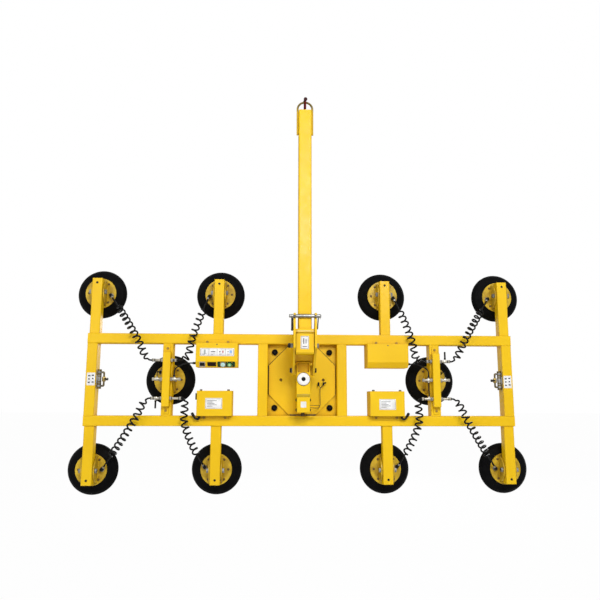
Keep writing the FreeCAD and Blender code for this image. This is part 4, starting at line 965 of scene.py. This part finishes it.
# Hand valves: dark bands, brass ball, pipe loop and shaped levers
VALVE_Y = 18
VALVE_STACK = 1201
VALVE_LOOP = 1174
LEVER_NUT = 1163.8
LEVER_BOSS = 1161.1
LEVER_MIDDLE = 1155.1
PIPE_UP = 40
bands = Shape()
balls = Shape()
for s in both:
    stack = s * VALVE_STACK
    loop = s * VALVE_LOOP
    for low, high in ((-57, -45), (-34, -24), (-20, -12), (12, 20), (24, 34), (45, 57)):
        bands.ring(at(stack, VALVE_Y, low), Z, 11, 12.5, high - low, 0.8, 28)
    for up in both:
        way = [at(stack - s * 14, VALVE_Y, up * PIPE_UP), at(loop, VALVE_Y, up * PIPE_UP),
               at(loop, VALVE_Y, up * 15)]
        bands.tube(wire(way, 13), 5.4, 16)
    balls.lathe(at(loop, VALVE_Y, 0), Z,
                [(5.6, -15), (9.2, -14.2), (10.9, -11), (11.2, -4), (11.2, 4), (10.9, 11),
                 (9.2, 14.2), (5.6, 15)], 28)
    balls.lathe(at(s * LEVER_NUT, VALVE_Y, 0), X * -s, [(9, -2), (9, 1.4), (6.4, 2.2)], 6)
    lever = Shape()
    lever.lathe(at(s * LEVER_BOSS, VALVE_Y, 0), X * -s,
                [(0, 0), (7.2, 0), (7.8, 0.8), (7.8, 10.6), (6.6, 12), (0, 12)], 28)
    lever.box(at(s * LEVER_MIDDLE, VALVE_Y - 22, 0), (12, 46, 8.4), 2.6)
    node_name = "valve_lever_left" if s < 0 else "valve_lever_right"
    made = lever.done("lever_grip_left" if s < 0 else "lever_grip_right", black, node_name)
    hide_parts(node_name)
bands.done("valve_bands", valve_brown, "frame")
balls.done("valve_balls", brass, "frame")

# Manifold fittings: release rings, tee bodies and sleeves on the tails
TEE = (22, 18, 18)
rings = Shape()
tees = Shape()
for s in both:
    outer_face = s * (MID + BAR_HALF)
    inner_face = s * (MID - BAR_HALF)
    for up in both:
        inner_length = UPPER_FIT if up > 0 else LOWER_FIT
        for face, way, length in ((outer_face, s, OUTER_FIT), (inner_face, -s, inner_length)):
            tip = at(face + way * length, FIT_Y, up * FIT_Z)
            rings.lathe(tip, X * way, [(9, -1), (9.2, -0.4), (9.2, 3.4), (8, 4.8), (5.2, 5.2)], 24)
            for off in (12.5, length - 15.5):
                rings.ring(at(face + way * off, FIT_Y, up * FIT_Z), X * way, 7.4, 8.8, 4, 0.5, 28)
    for x, z in ((outer_face + s * TEE_OUTER_NODE, 0), (inner_face - s * TEE_INNER_NODE, 0),
                 (outer_face + s * OUTER_NODE, s * FIT_Z)):
        tees.box(at(x, FIT_Y, z), TEE, 4)
    tail = at(outer_face + s * OUTER_NODE, FIT_Y, s * (FIT_Z + 16))
    rings.lathe(tail, Z * s,
                [(6, -3), (6.4, -2), (6.4, 4), (5.2, 5), (5.2, 41), (4.4, 42.6), (0, 42.8)], 20)
tees.box(at(MID - BAR_HALF - TEE_INNER_NODE, FIT_Y, -FIT_Z), TEE, 4)
rings.done("fitting_rings", black, "frame")
tees.done("fitting_tees", nickel, "frame")

# Bumper screws
BUMPER = 166
BUMPER_FRONT = 36
screws = Shape()
for x in both:
    for z in both:
        screws.lathe(at(x * BUMPER, BUMPER_FRONT, z * BUMPER), -Y,
                     [(6.5, -1), (6.5, 0.2), (5.6, 0.7), (3.2, 0.7), (3.0, -0.6), (0, -0.6)], 24)
screws.done("bumper_screws", black, "frame")

# Dark brown rings in the index holes of the turntable: painted shade inside the holes
INDEX_HOLE = 128
hole_shade = Shape()
for x, z in ((INDEX_HOLE, 0), (-INDEX_HOLE, 0), (0, INDEX_HOLE), (0, -INDEX_HOLE)):
    hole_shade.ring(at(x, 38.2, z), Y, 5.4, 8.9, 5, 0.4, 28)
hole_shade.done("index_hole_shade", shade_brown, "frame")

# Pale floor that looks white to the camera and keeps a faint shadow
low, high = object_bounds()
FLOOR_REACH = 60
FLOOR_DROP = 0.75
FLOOR_GREY = 0.72
WHITE_SHARE = 0.98
SKY_LIGHT = 0.2
floor_z = low.z - FLOOR_DROP
corners = [(x * FLOOR_REACH, y * FLOOR_REACH, floor_z)
           for x, y in ((-1, -1), (1, -1), (1, 1), (-1, 1))]
floor_mesh = bpy.data.meshes.new("floor")
floor_mesh.from_pydata(corners, [], [(0, 1, 2, 3)])
floor = bpy.data.objects.new("floor", floor_mesh)
pale = new_material("pale_floor", (FLOOR_GREY, FLOOR_GREY, FLOOR_GREY), 0.9)
floor_mesh.materials.append(pale)
bpy.context.scene.collection.objects.link(floor)


# Share of rays that see the white studio: camera, mirror and glass rays
def studio_rays(tree):
    rays = tree.nodes.new("ShaderNodeLightPath")
    total = rays.outputs["Is Camera Ray"]
    for name in ("Is Glossy Ray", "Is Transmission Ray"):
        most = tree.nodes.new("ShaderNodeMath")
        most.operation = "MAXIMUM"
        tree.links.new(total, most.inputs[0])
        tree.links.new(rays.outputs[name], most.inputs[1])
        total = most.outputs[0]
    return total


tree = pale.node_tree
glow = node(pale, "ShaderNodeEmission", Strength=1.0)
mix = node(pale, "ShaderNodeMixShader")
share = node(pale, "ShaderNodeMath")
share.operation = "MULTIPLY"
share.inputs[1].default_value = WHITE_SHARE
tree.links.new(studio_rays(tree), share.inputs[0])
link(pale, share, 0, mix, 0)
tree.links.new(tree.nodes["Principled BSDF"].outputs[0], mix.inputs[1])
tree.links.new(glow.outputs[0], mix.inputs[2])
tree.links.new(mix.outputs[0], tree.nodes["Material Output"].inputs["Surface"])

# White studio and soft lamps
scene = bpy.context.scene
scene.view_settings.view_transform = "Standard"
world = bpy.data.worlds.new("studio")
scene.world = world
world.use_nodes = True
sky = world.node_tree.nodes["Background"]
sky.inputs["Color"].default_value = (1, 1, 1, 1)
level = world.node_tree.nodes.new("ShaderNodeMapRange")
level.inputs["To Min"].default_value = SKY_LIGHT
level.inputs["To Max"].default_value = 1.0
world.node_tree.links.new(studio_rays(world.node_tree), level.inputs["Value"])
world.node_tree.links.new(level.outputs[0], sky.inputs["Strength"])


# Round lamp that faces a point, size in metres and power in watts
def lamp(name, place, target, size, power):
    data = bpy.data.lights.new(name, "AREA")
    data.shape = "DISK"
    data.size = size
    data.energy = power
    made = bpy.data.objects.new(name, data)
    made.location = place
    made.rotation_mode = "QUATERNION"
    made.rotation_quaternion = (target - place).to_track_quat("-Z", "Y")
    scene.collection.objects.link(made)


middle = at(0, 0, 100)
lamp("key", at(1500, -7100, 3500), middle, 3.4, 318)
lamp("fill", at(-4200, -6300, 2400), middle, 5.0, 135)
lamp("front", at(182, -3600, 1769), at(0, -240, 830), 0.5, 15)
lamp("back", at(1800, 7000, 2600), middle, 4.0, 300)

# Camera at the photo's place
PHOTO_FOCAL = 604.85
PHOTO_WIDTH = 600
SENSOR = 36
yaw, pitch, roll = -0.0462, 0.1638, 0.0026
forward = Vector((-math.sin(yaw) * math.cos(pitch), math.cos(yaw) * math.cos(pitch),
                  math.sin(pitch)))
right = Vector((math.cos(yaw), math.sin(yaw), 0))
upward = right.cross(forward)
tilted = right * math.cos(roll) + upward * math.sin(roll)
upward = upward * math.cos(roll) - right * math.sin(roll)
view = bpy.data.cameras.new("view")
view.sensor_width = SENSOR
view.lens = SENSOR * PHOTO_FOCAL / PHOTO_WIDTH
view.clip_end = 200
camera = bpy.data.objects.new("view", view)
camera.matrix_world = Matrix((tilted, upward, -forward)).transposed().to_4x4()
camera.location = at(-183.9, -3636.3, -119.0)
scene.collection.objects.link(camera)
scene.camera = camera
